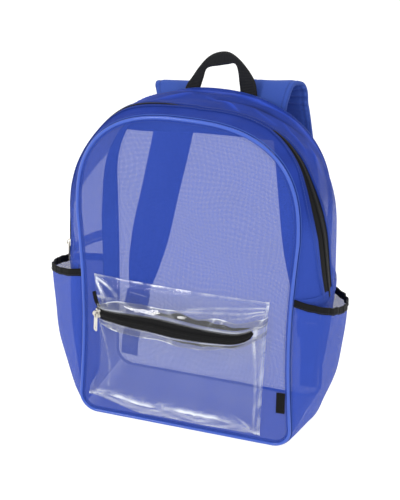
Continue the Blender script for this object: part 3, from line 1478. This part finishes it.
class BAG_OT_gussets(bpy.types.Operator):
    """Mesh band round the bag, the strips beside the zip and the facing inside"""

    bl_idname = "bag.gussets"
    bl_label = "Gussets"

    def execute(self, context):
        self.lower()
        self.strips()
        self.joins()
        self.facing()
        return {"FINISHED"}

    @staticmethod
    def lower():
        """Mesh of the base and the lower sides."""
        k = np.linspace(-ZIP_STATION, ZIP_STATION, 169)
        edge = np.linspace(0, 0.12, 9)
        v = np.concatenate([edge[:-1], np.linspace(0.12, 0.88, 26), np.linspace(0.88, 1, 9)[1:]])
        kk, vv = grid(k, v)
        flat = ease(BASE_END + 0.5, CORNER_END, np.abs(kk))
        points = gusset(kk, vv, -CLOTH / 2 - gusset_folds(kk, vv, LOWER_SEED) * flat)
        points[..., 2] = np.maximum(points[..., 2], 0.1)
        base = 1 - ease(BASE_END, CORNER_END, np.abs(kk))
        piece = make_sheet("mesh_lower_gusset", points, {"dense": 0.8 * base, "fold": 0.6 * base})
        dress(piece, "side_net", "mesh", "lower_gusset")

    @staticmethod
    def hem(name, k, edge, side):
        """Turned hem beside the zip's slot, and its stitches."""
        rows = [gusset(k, edge + side * off / GUSSET_ARC, lift) for off, lift in zip(*ZIP_HEM.values())]
        points = np.array(rows)
        hem = make_sheet(name, points, {"dense": dense_above(points)})
        dress(hem, "hem_net", "mesh")
        seam = seat(gusset, k, edge + side * HEM_SEAM / GUSSET_ARC, HEM_TOP)
        return [hem, sew(name + "_stitch", *seam, radius=HEM_THREAD)]

    def strips(self):
        """The mesh in front of the zip and behind it."""
        k = zip_stations(221)
        front_end = zip_front_edge(k)
        back_start = zip_back_edge(k)
        hems = {
            "front": self.hem("zip_hem_front", k, front_end, -1),
            "back": self.hem("zip_hem_back", k, back_start, 1),
        }
        pieces = (
            ("front", 0 * k, front_end, front_end, 14, (0.028, 0.745)),
            ("back", back_start, 1 + 0 * k, back_start, 26, (0.092, 0.770)),
        )
        for word, start, end, slot_edge, rows, flat in pieces:
            vv = mix(start[:, None], end[:, None], np.linspace(0, 1, rows)[None])
            kk = np.broadcast_to(k[:, None], vv.shape)
            slot = np.abs(vv - slot_edge[:, None]) * GUSSET_ARC
            drawn, tone = strip_drawn(kk, vv)
            points = gusset(kk, vv, -CLOTH / 2 + drawn * freed(slot))
            dense = dense_above(points)
            tone = tone * dense
            if word == "back":
                dense = np.where(kk > TOP, left_double(points, vv), dense)
                tone = tone - np.where(kk > TOP, left_fold(points), 0)
            piece = make_sheet(f"mesh_zip_{word}", points, {"dense": dense, "fold": tone})
            dress(piece, "side_net", "mesh", f"zip_gusset_{word}")

    @staticmethod
    def joins():
        """Bands where the zip strips are sewn to the lower gusset."""
        v = np.linspace(0.01, 0.99, 60)
        for side, word in BOTH_SIDES:
            rows = [gusset(k * side, v, lift) for k, lift in zip(*JOIN.values())]
            dress(make_sheet(f"join_band_{word}", np.array(rows)), "hem_net", "mesh")
            seam = seat(gusset, JOIN_SEAM * side, v, HEM_TOP)
            sew(f"join_stitch_{word}", *seam, radius=HEM_THREAD)

    @staticmethod
    def facing():
        """Cloth strip inside the back half, seen through the mesh."""
        k = np.linspace(FACING_END, 2 * TOP - FACING_END, 201)
        v = np.linspace(FACING_FROM, FACING_TO, 12)
        kk, vv = grid(k, v)
        low = gusset_folds(fold_station(kk), vv, LOWER_SEED)
        high = UPPER_SHARE * gusset_folds(kk, vv, UPPER_SEED)
        slack = 0.3 * np.abs(waves(41, 40, 120)(kk * FOLD_STEP, vv * GUSSET_ARC))
        lift = -CLOTH - UNDERLAP - 0.6 - np.maximum(low, high) - slack
        piece = make_wall("facing_cloth", gusset(kk, vv, lift), gusset(kk, vv, lift - 0.7))
        dress(piece, "facing_cloth", "cloth", "zip_gusset_facing")


class BAG_OT_main_zip(bpy.types.Operator):
    """Black tape and coil of the main zip"""

    bl_idname = "bag.main_zip"
    bl_label = "Main zip"

    def execute(self, context):
        k = zip_stations(201)
        half = np.maximum(ZIP_TAPE / 2, zip_front(zip_turn(k)) + 4) / GUSSET_ARC
        s = np.linspace(-1, 1, 13)
        vv = zip_middle(k)[:, None] + half[:, None] * s[None]
        kk = np.broadcast_to(k[:, None], vv.shape)
        dome = 2.0 * np.maximum(0, 1 - (s[None] / 0.8) ** 2) ** 0.8
        open_by = ease(1.2, 4.5, zip_front(zip_turn(k)) + zip_back(zip_turn(k)))
        slot = np.maximum(zip_front_edge(kk) - vv, vv - zip_back_edge(kk)) * GUSSET_ARC
        sunk = np.maximum(0, -strip_drawn(kk, vv)[0]) * freed(slot)
        lift = -CLOTH - UNDERLAP - 0.1 + dome * mix(0.1, 1, open_by)[:, None] - sunk
        tape = make_wall("zip_tape", gusset(kk, vv, lift), gusset(kk, vv, lift - 0.6))
        dress(tape, "zip_tape", "tape", "main_zip")
        line, out = seat(gusset, k, zip_middle(k), mix(-1.5, 0.15, open_by))
        lay_coil("zip_coil", line, unit(out), length=5.2, flat=1.1)
        return {"FINISHED"}


class BAG_OT_side_pockets(bpy.types.Operator):
    """Mesh side pockets with elastic bindings"""

    bl_idname = "bag.side_pockets"
    bl_label = "Side pockets"

    def execute(self, context):
        for side, word in BOTH_SIDES:
            self.pocket(side, word)
            self.binding(side, word)
        return {"FINISHED"}

    @staticmethod
    def gathers(v, up):
        """Gathers of the elastic, strongest at the mouth."""
        across = np.asarray(v, float) * MOUTH_ARC
        rim = ease(0.02, 0.12, v) * ease(0.02, 0.12, 1 - v)
        return waves(51, 12, 24)(across, 20 * up) * 0.9 * np.clip(up, 0, 1) ** 3 * rim

    def pocket(self, side, word):
        """Mesh of one side pocket."""
        k = np.linspace(POCKET_START, MOUTH_STATION, 56)
        v = np.linspace(POCKET_EDGE, 1 - POCKET_EDGE, 64)
        kk, vv = grid(k, v)
        up = (kk - POCKET_START) / (MOUTH_STATION - POCKET_START)
        slow = waves(53 + side, 45, 120)(kk * 30, vv * 180)
        bulge = (1 - np.abs(2 * vv - 1) ** 2) * np.clip(up * 3, 0, 1)
        lift = -CLOTH / 2 + self.gathers(vv, up) + 1.0 * slow * bulge
        points = side_pocket(kk * side, vv, lift)
        piece = make_sheet(f"mesh_pocket_{word}", points)
        dress(piece, "pocket_net", "mesh", f"bottle_pocket_{word}")

    def binding(self, side, word):
        """Elastic binding of one pocket's mouth, with its stitches."""
        v = np.linspace(POCKET_EDGE, 1 - POCKET_EDGE, 150)
        station = float(MOUTH_STATION * side)
        ripples = self.gathers(v, 1.0 + 0 * v)
        middle = side_pocket(station, v, -CLOTH / 2 + ripples)
        outer = side_pocket(station, v, -CLOTH / 2 + 1 + ripples)
        thin = unit((outer - middle) * (RIGHTWARD + BACKWARD))
        wave = 0.35 * waves(57, 9, 17)(v * MOUTH_ARC, 0 * v)
        middle[:, 2] += GAP + 0.3 + BINDING_HEIGHT / 2 - 1.5 + wave
        flat = flat_section(width=BINDING_HEIGHT + 2, thick=2.6, edge=0.6)
        section = np.broadcast_to(flat, (len(v), *flat.shape)).copy()
        section[..., 1] += (0.3 * waves(58, 4.5, 8)(v * MOUTH_ARC, 0 * v))[:, None]
        piece = make_sweep(f"elastic_binding_{word}", middle, UPWARD, thin, section)
        dress(piece, "elastic_tape", "tape", f"pocket_binding_{word}")
        line = side_pocket(station, v, -CLOTH / 2 + 1.75 + ripples)
        line[:, 2] = middle[:, 2] - BINDING_HEIGHT / 2 + 1.5
        sew(f"binding_stitch_{word}", line, thin, "dark_thread", radius=BINDING_THREAD)


# Height of the lower fold above the film's foot
FILM_FOLD = {
    "s": (-1, -0.94, -0.85, -0.7, -0.4, 0, 0.35, 0.6, 0.8, 0.92, 1),
    "rise": (1, 9, 20, 32, 34, 36, 34, 29, 19, 8, 1),
}
fold_rise = table_curve(FILM_FOLD, "s", "rise")
# Creases of the clear film: ends as share across and level, bow, width, ridge and whiteness
CREASES = {
    "s0": (-0.97, -0.97, -0.98, -0.985, -0.97, 0.97, 0.95, 0.97, 0.99, 0.90, -0.92, -0.90, 0.88, -0.60),
    "z0": (205, 202, 200, 200, 182, 200, 192, 186, 204, 150, 150, 34, 30, 178),
    "s1": (-0.64, -0.64, -0.86, -0.985, -0.55, 0.10, -0.05, 0.35, 0.985, 0.93, -0.80, -0.62, 0.66, 0.05),
    "z1": (170, 168, 172, 20, 176, 186, 181, 178, 14, 24, 60, 60, 54, 180),
    "bow": (6, -5, 2, -13, 3, -3, -2, -2, 0, 3, 6, 3, -3, -2),
    "wide": (1.7, 1.6, 1.8, 1.7, 1.5, 1.3, 1.4, 1.2, 1.6, 1.5, 1.6, 2.0, 2.0, 1.2),
    "high": (2.0, 1.8, 1.6, 1.6, 1.0, 1.0, 1.0, 0.8, 0.6, 1.2, 1.0, 1.4, 1.4, 0.6),
    "white": (0.95, 0.9, 0.95, 0.6, 0.6, 0.6, 0.65, 0.5, 0.75, 0.6, 0.4, 0.45, 0.5, 0.5),
}
# Margins of the zip's tape, seen through the film: ends as share across, side, start from the zip, width
TAPE_MARGINS = {
    "s0": (-0.30, -0.05),
    "s1": (0.86, 0.84),
    "side": (1, -1),
    "off": (3.2, 2.4),
    "wide": (5.6, 2.6),
}
MARGIN_DEPTH = -1.7
# Loose end of the pocket zip's tape: start, how far it runs to the side and up, and its stand from the front
ZIP_TAIL = {"x": -114.5, "aside": 6.5, "z": 167, "up": 21, "off": 8.5, "bow": 3.5}


def film_shape(level, s):
    """How far the film's creases lift it, and how white each place is."""
    x = s * CLEAR_HALF
    lift = 0.6 * waves(61, 60, 140)(x, level)
    crease = np.zeros(np.shape(lift))
    for s0, z0, s1, z1, bow, wide, high, white in zip(*CREASES.values()):
        start, end = (s0 * CLEAR_HALF, z0), (s1 * CLEAR_HALF, z1)
        away, t, length = line_distance(x, level, start, end, bow)
        ridge = hump(away, wide) * (1 - 0.55 * t)
        broken = np.clip(0.75 + 0.45 * waves(65, 9, 40)(t * length, 0 * t), 0.2, 1)
        lift = lift + high * ridge
        crease = np.maximum(crease, white * ridge * broken)
    from_fold = level - CLEAR_LOW - fold_rise(s)
    streak = hump(from_fold, 4.2)
    patches = 0.75 + 0.42 * waves(62, 16, 70)(x, 0 * x) + 0.6 * hump(s - 0.2, 0.25)
    patches = np.clip(patches, 0.25, 1)
    band = hump(from_fold, 9)
    ruffle = 1 - np.abs(waves(63, 18, 44)(x, 2.0 * level))
    lift = lift + 1.8 * streak + 1.3 * band * ruffle
    glint = band * np.clip((ruffle - 0.55) * 1.6, 0, 1) * 0.7
    foot = (1 - ease(-5, 2, from_fold)) * (0.27 + 0.14 * waves(67, 20, 60)(x, 3 * level))
    crease = np.maximum(np.maximum(crease, streak * patches), np.maximum(glint, foot))
    return lift, crease


class BAG_OT_clear_pocket(bpy.types.Operator):
    """Clear film pocket with its zip, welded edges and stitching"""

    bl_idname = "bag.clear_pocket"
    bl_label = "Clear pocket"

    def execute(self, context):
        s = self.across()
        self.film(s)
        self.welds(s)
        self.zip_end()
        self.zip()
        self.edges()
        return {"FINISHED"}

    @staticmethod
    def across():
        """Shares of the film's half width, closer together at its edges."""
        edge = np.linspace(0.8, 1, 16)
        return np.concatenate([-edge[::-1], np.linspace(-0.8, 0.8, 70)[1:-1], edge])

    @staticmethod
    def film(s):
        """The film below the zip and above it."""
        half = pocket_zip_half(s) + GAP
        fine = np.concatenate([np.linspace(0, 0.36, 36)[:-1], np.linspace(0.36, 1, 40)])
        even = np.linspace(0, 1, 30)
        pieces = (
            ("lower", fine, CLEAR_LOW, CLEAR_ZIP_MIDDLE - half, (0.262, 0.155)),
            ("upper", even, CLEAR_ZIP_MIDDLE + half, CLEAR_HIGH, (0.246, 0.044)),
        )
        for word, share, start, end, flat in pieces:
            tt, ss = grid(share, s)
            ll = mix(start, end, tt)
            lift, crease = film_shape(ll, ss)
            calm = ease(0, 0.06, 1 - np.abs(ss)) * ease(CLEAR_LOW, CLEAR_LOW + 6, ll)
            calm = calm * ease(0, 8, CLEAR_HIGH - ll)
            hold = ease(0, 6, np.abs(ll - CLEAR_ZIP_MIDDLE) - pocket_zip_half(ss))
            points = clear_film(ll, ss, -FILM / 2 + lift * calm * mix(0.25, 1, hold))
            rim = hump(1 - np.abs(ss), 0.03) + hump(ll - CLEAR_LOW, 4)
            rim = rim + hump(CLEAR_HIGH - ll, 2.5)
            broken = np.clip(0.5 + 0.55 * waves(64, 8, 34)(ss * CLEAR_HALF, ll), 0.12, 1)
            white = np.clip(crease + 0.42 * rim * broken, 0, 1)
            piece = make_sheet(f"film_{word}", points, {"crease": white})
            dress(piece, f"film_{word}", "film", f"clear_pocket_{word}")

    @staticmethod
    def welds(s):
        """Strips of film welded along the zip, loose at one edge."""
        t = np.linspace(-0.15, 1, 13)
        x = s * CLEAR_HALF
        for name, side, width in (("film_weld_low", -1, 7), ("film_weld_high", 1, 10)):
            base = CLEAR_ZIP_MIDDLE + side * pocket_zip_half(s)
            reach = width * (1 + 0.25 * waves(66 + side, 40, 110)(x, 0 * x))
            ll = base[None] + side * t[:, None] * reach[None]
            tt, ss = grid(t, s)
            wave = waves(68 + side, 24, 80)(ss * CLEAR_HALF, 2 * ll)
            flutter = np.clip(tt, 0, 1) * ease(0, 0.05, 1 - np.abs(ss))
            points = clear_film(ll, ss, 0.5 + 0.5 * np.abs(wave) * flutter)
            edge = hump(tt - 1, 0.09) * np.clip(0.45 + 0.5 * wave, 0.1, 1)
            hem = 0.6 * hump(tt - 0.08, 0.08) * np.clip(0.6 + 0.5 * wave, 0.1, 1)
            streak = 0.6 * hump(wave - 0.55, 0.16) * np.clip(tt, 0, 1)
            piece = make_sheet(name, points, {"crease": np.clip(edge + hem + streak, 0, 1)})
            dress(piece, "weld_film", "film")

    @staticmethod
    def zip_end():
        """Film over the gap between the zip's right end and the pocket's edge."""
        t = np.linspace(-1.5, 1.5, 12)
        tt, ss = grid(t, np.linspace(POCKET_ZIP_END - 0.01, 1, 20))
        ll = CLEAR_ZIP_MIDDLE + tt * pocket_zip_half(ss)
        points = clear_film(ll, ss, 0.1)
        near = hump(ss - POCKET_ZIP_END - 0.02, 0.03)
        far = hump(ss - 1, 0.03)
        piece = make_sheet("film_zip_end", points, {"crease": 0.6 * near + 0.5 * far})
        dress(piece, "film_upper", "film")

    def zip(self):
        """Tape and coil of the pocket's zip."""
        s = np.linspace(-1, POCKET_ZIP_END, 90)
        tt, ss = grid(np.linspace(-1, 1, 13), s)
        dome = 0.7 * (1 - np.abs(tt) ** 3)
        blunt = np.sqrt(np.clip((POCKET_ZIP_END - ss) / 0.03, 0.05, 1))
        ll = CLEAR_ZIP_MIDDLE + tt * pocket_zip_half(ss) * blunt
        outer = clear_film(ll, ss, -0.35 + dome)
        inner = clear_film(ll, ss, -1.0 + dome)
        tape = make_wall("pocket_zip_tape", outer, inner, cloth_places(outer)[..., ::-1])
        dress(tape, "zip_tape", "tape", "pocket_zip")
        fine = np.linspace(-0.985, POCKET_ZIP_END - 0.03, 200)
        line, out = seat(clear_film, float(CLEAR_ZIP_MIDDLE), fine, 0.7)
        lay_coil("pocket_zip_coil", line, unit(out), length=5.0, flat=1.0)
        self.margins()
        self.tail()

    @staticmethod
    def margins():
        """The zip's tape beside its teeth, behind the film."""
        tt, aa = grid(np.linspace(0, 1, 7), np.linspace(0, 1, 70))
        for row, (s0, s1, side, off, wide) in enumerate(zip(*TAPE_MARGINS.values())):
            ss = mix(s0, s1, aa)
            ragged = 1 + 0.25 * waves(75 + row, 12, 50)(ss * CLEAR_HALF, 0 * ss)
            ends = np.sqrt(np.sin(math.pi * np.clip(aa, 0.002, 0.998)))
            reach = off + tt * wide * ends * ragged
            level = CLEAR_ZIP_MIDDLE + side * (pocket_zip_half(ss) + reach)
            piece = make_sheet(f"pocket_zip_margin_{row}", clear_film(level, ss, MARGIN_DEPTH))
            dress(piece, "zip_tape", "tape")

    @staticmethod
    def tail():
        """The loose end of the zip's tape at the left."""
        t = np.linspace(0, 1, 18)
        x = ZIP_TAIL["x"] - ZIP_TAIL["aside"] * t**1.4
        z = ZIP_TAIL["z"] + ZIP_TAIL["up"] * t
        y = front_face(x, z) - ZIP_TAIL["off"] - ZIP_TAIL["bow"] * np.sin(math.pi * t)
        line = np.stack([x, y, z], axis=-1)
        wide = unit(np.cross(-BACKWARD, tangents(line)))
        thin = np.cross(tangents(line), wide)
        section = flat_section(width=5.5, thick=1.2, edge=0.5)
        piece = make_sweep("pocket_zip_tail", line, wide, thin, section)
        dress(piece, "zip_tape", "tape")

    @staticmethod
    def edges():
        """Stitches that hold the film along its top and sides."""
        up = np.linspace(CLEAR_LOW + 2, CLEAR_HIGH - 4, 120)
        runs = (
            ("top", np.linspace(-0.98, 0.98, 120), CLEAR_HIGH - 3.5),
            ("left", -0.988, up),
            ("right", 0.988, up),
        )
        for word, s, level in runs:
            line, out = seat(clear_film, level, s, 0.15)
            sew(f"film_stitch_{word}", line, unit(out), "pale_thread", radius=FILM_THREAD)


def strap_frames(steps):
    """Middle line of the right strap, its width and thickness directions and the way along it."""
    line = smooth_line(np.stack([STRAP["x"], STRAP["y"], STRAP["z"]], axis=-1), steps)
    forward = tangents(line)
    wide = square_to(RIGHTWARD, forward)
    return line, wide, np.cross(forward, wide), forward


def mirror_x(points, side):
    """Points or directions of the right side, brought to the side asked for."""
    return points * np.array([float(side), 1.0, 1.0])


def side_sweep(name, side, ways, section, places=None):
    """A band swept along the right side's line, width and thickness, on the side asked for."""
    line, wide, thin = (mirror_x(way, side) for way in ways)
    return make_sweep(name, line, wide, thin, section, places=places)


# Bound edge of a strap: its section, and where the sewn channel lies as a share of half the width
EDGE_TURN = np.arange(10) * 0.628
EDGE_SECTION = np.stack([1.5 * np.cos(EDGE_TURN), 2.5 * np.sin(EDGE_TURN)], axis=-1)
CHANNEL_AT = 0.80
# Stitches across the foot of the webbing: distance from its end
WEBBING_ROWS = (3.0, 12.0)


class BAG_OT_straps(bpy.types.Operator):
    """Padded shoulder straps, their webbing and buckles"""

    bl_idname = "bag.straps"
    bl_label = "Straps"

    def execute(self, context):
        for side, word in BOTH_SIDES:
            self.pad(side, word)
            self.webbing(side, word)
        for _, word in BOTH_SIDES:
            clad(NODES[f"strap_buckle_{word}"], "black_plastic")
        return {"FINISHED"}

    @staticmethod
    def settle(line, wide, thin, share, word):
        """Each strap folds over and hangs in its own way."""
        way = SETTLE[word]
        fade = way["fade"]
        bend = ease(0.08, 0.30, share) * (1 - ease(0.5, 0.8, share))
        root = ease(0.03, 0.14, share) * (1 - ease(0.26, 0.46, share))
        loose = ease(0.38, 0.50, share) * (1 - ease(fade, fade + 0.23, share))
        turn = np.radians(way["roll"] * bend + way["hang"] * loose)[:, None]
        line = line + bend[:, None] * np.array([way["aside"], 0.0, way["lift"]])
        line = line + root[:, None] * (way["lean"] * RIGHTWARD)
        line = line + (1 - ease(0, 0.1, share))[:, None] * (ROOT_RISE * UPWARD)
        rolled = wide * np.cos(turn) - thin * np.sin(turn)
        return line, rolled, np.cross(tangents(line), rolled)

    def pad(self, side, word):
        """Padded strap with its bound edges and stitches."""
        steps = 200
        line, wide, thin, _ = strap_frames(steps)
        share = np.linspace(0, 1, steps + 1)
        line, wide, thin = self.settle(line, wide, thin, share, word)
        columns = {"at": np.linspace(0, 1, len(STRAP["x"])), **STRAP}
        width = table_curve(columns, "at", "width")(share)
        thick = table_curve(columns, "at", "thick")(share)
        around = np.linspace(0, 2 * math.pi, 44, endpoint=False)
        c, d = np.cos(around), np.sin(around)
        across = np.sign(c) * np.abs(c) ** 0.35
        height = np.sign(d) * np.abs(d) ** 0.62
        channel = 0.30 * hump(np.abs(across) - CHANNEL_AT, 0.06)
        length = along_line(line)
        bend = hump(share - 0.44, 0.08)
        ridges = np.sin(length / 1.5 + 0.9 * np.sin(length / 7)) * bend
        slack = waves(71, 25, 80)(length[:, None], 40 * across[None])
        section = np.zeros((steps + 1, len(around), 2))
        section[..., 0] = across[None] * width[:, None] / 2
        plump = height[None] * (1 - channel[None]) * thick[:, None] / 2 * 1.05
        inner = (height[None] > 0) * ridges[:, None] * 1.8 * (1 - 0.5 * np.abs(across[None]) ** 4)
        section[..., 1] = plump + inner + 0.22 * slack * np.abs(height[None])
        places = np.sign(height) * 100 + across * 29
        piece = side_sweep(f"strap_pad_{word}", side, (line, wide, thin), section, places)
        dress(piece, "strap_cloth", "cloth", f"shoulder_strap_{word}")
        for name, edge in (("inner", -1), ("outer", 1)):
            rim = line + wide * (edge * (width / 2 - 0.6))[:, None]
            tube = side_sweep(f"strap_edge_{name}_{word}", side, (rim, wide, thin), EDGE_SECTION)
            dress(tube, "strap_binding", "cloth")
            for face, place in ((-1, "in"), (1, "out")):
                inset = edge * (width / 2 * CHANNEL_AT)
                seated = face * thick / 2 * CHANNEL_AT
                row = line + wide * inset[:, None] + thin * seated[:, None]
                out = mirror_x(thin * face, side)
                sew(f"strap_stitch_{name}_{place}_{word}", mirror_x(row, side), out)

    def webbing(self, side, word):
        """Webbing from the buckle to the foot of the bag, with its stitches."""
        line, _, _, forward = strap_frames(150)
        down = forward[-1]
        across = square_to(RIGHTWARD, down)
        off = np.cross(across, -down)
        away = 1 if off[1] > 0 else -1
        middle = line[-1] + down * BUCKLE_REACH
        loop = [
            middle + down * along + off * (o * away)
            for along, o in zip(WEBBING_LOOP["along"], WEBBING_LOOP["off"])
        ]
        path = smooth_line([*loop, *(np.array(p, float) for p in WEBBING_FOOT)], 170)
        ahead = tangents(path)
        wide = square_to(across, ahead)
        thin = np.cross(ahead, wide)
        section = flat_section(width=WEBBING_WIDTH, thick=WEBBING_THICK - 0.1, edge=0.5)
        piece = side_sweep(f"strap_webbing_band_{word}", side, (path, wide, thin), section)
        dress(piece, "black_webbing", "webbing", f"strap_webbing_{word}")
        x = np.linspace(-10.5, 10.5, 30)[:, None]
        for row, drop in enumerate(WEBBING_ROWS):
            end = path[-1] - ahead[-1] * drop
            line = end + wide[-1] * x + (WEBBING_THICK / 2 + 0.05) * BACKWARD
            sew(f"webbing_stitch_{row}_{word}", mirror_x(line, side), BACKWARD, "dark_thread", 2.4)


# Stitches at the handle's feet: ends across, their levels, and their place in depth
HANDLE_FOOT = {"word": ("left", "right"), "from": (-52, 28), "to": (-39, 43)}
FOOT_LEVELS = (416.0, 426.0)
FOOT_DEPTH = 73.4
GRIP = slice(44, 90)


class BAG_OT_handle(bpy.types.Operator):
    """Webbing carry handle at the top, folded double where it is gripped"""

    bl_idname = "bag.handle"
    bl_label = "Handle"

    def execute(self, context):
        steps = 132
        outer = smooth_line(np.stack([HANDLE["outer_x"], HANDLE["y"], HANDLE["outer_z"]], axis=-1), steps)
        inner = smooth_line(np.stack([HANDLE["inner_x"], HANDLE["y"], HANDLE["inner_z"]], axis=-1), steps)
        columns = {"at": np.linspace(0, 1, len(HANDLE["y"])), **HANDLE}
        thick = table_curve(columns, "at", "thick")(np.linspace(0, 1, steps + 1))
        line = (outer + inner) / 2
        half = np.linalg.norm(outer - inner, axis=1) / 2
        wide = unit(outer - inner)
        ring = flat_section(width=2, thick=2, edge=0.1)
        section = ring[None] * np.stack([half, thick / 2], axis=-1)[:, None]
        piece = make_sweep("handle_webbing", line, wide, BACKWARD, section)
        dress(piece, "black_webbing", "webbing", "carry_handle")
        grip = (outer * 0.12 + inner * 0.88)[GRIP]
        for face, word in ((-1, "front"), (1, "back")):
            raised = face * BACKWARD * (thick[GRIP, None] / 2 + 0.05)
            sew(f"handle_stitch_{word}", grip + raised, face * BACKWARD, "dark_thread", 2.6)
        for word, start, end in zip(*HANDLE_FOOT.values()):
            for row, level in enumerate(FOOT_LEVELS):
                x = np.linspace(start, end, 24)
                line = np.stack([x, np.full(24, FOOT_DEPTH), np.full(24, level)], axis=-1)
                sew(f"handle_foot_{row}_{word}", line, BACKWARD, "dark_thread", 2.4)
        return {"FINISHED"}


class BAG_OT_small_parts(bpy.types.Operator):
    """Sliders, pulls and the blank label"""

    bl_idname = "bag.small_parts"
    bl_label = "Small parts"

    def execute(self, context):
        for name in ("main_slider", "pocket_slider", "main_pull", "pocket_pull"):
            clad(NODES[name], "plated_metal")
        x = np.linspace(LABEL["x0"], LABEL["x1"], 14)
        z = np.linspace(LABEL["z0"], LABEL["z1"], 30)
        zz, xx = grid(z, x)
        from_side = np.minimum(xx - LABEL["x0"], LABEL["x1"] - xx)
        from_end = np.minimum(zz - LABEL["z0"], LABEL["z1"] - zz)
        edge = np.minimum(from_side, from_end)
        crown = 0.25 * ease(0, 1.6, edge)
        back = front_face(xx, zz) - GAP
        outer = np.stack([xx, back - LABEL["thick"] + 0.25 - crown, zz], axis=-1)
        inner = np.stack([xx, back, zz], axis=-1)
        piece = make_wall("blank_label", outer, inner, outer[..., (2, 0)] * MM)
        dress(piece, "label_tape", "tape", "side_label")
        return {"FINISHED"}


class BAG_PT_dresser(bpy.types.Panel):
    """Lists the steps that dress the bag"""

    bl_idname = "BAG_PT_dresser"
    bl_label = "Backpack"
    bl_space_type = "VIEW_3D"
    bl_region_type = "UI"
    bl_category = "Backpack"

    def draw(self, context):
        for step in STEPS:
            self.layout.operator(step.bl_idname)
        for name in BagColours.__annotations__:
            self.layout.prop(context.scene.bag_colours, name)
        for name in BagSizes.__annotations__:
            self.layout.prop(context.scene.bag_sizes, name)


STEPS = (
    BAG_OT_stage,
    BAG_OT_panels,
    BAG_OT_seams,
    BAG_OT_gussets,
    BAG_OT_main_zip,
    BAG_OT_side_pockets,
    BAG_OT_clear_pocket,
    BAG_OT_straps,
    BAG_OT_handle,
    BAG_OT_small_parts,
)
CLASSES = (BagColours, BagSizes, *STEPS, BAG_PT_dresser)


def register():
    for item in CLASSES:
        bpy.utils.register_class(item)
    bpy.types.Scene.bag_colours = bpy.props.PointerProperty(type=BagColours)
    bpy.types.Scene.bag_sizes = bpy.props.PointerProperty(type=BagSizes)


def unregister():
    del bpy.types.Scene.bag_sizes
    del bpy.types.Scene.bag_colours
    for item in reversed(CLASSES):
        bpy.utils.unregister_class(item)


def main():
    register()
    for step in STEPS:
        group, name = step.bl_idname.split(".")
        getattr(getattr(bpy.ops, group), name)()
    bpy.context.view_layer.update()


if __name__ == "__main__":
    main()
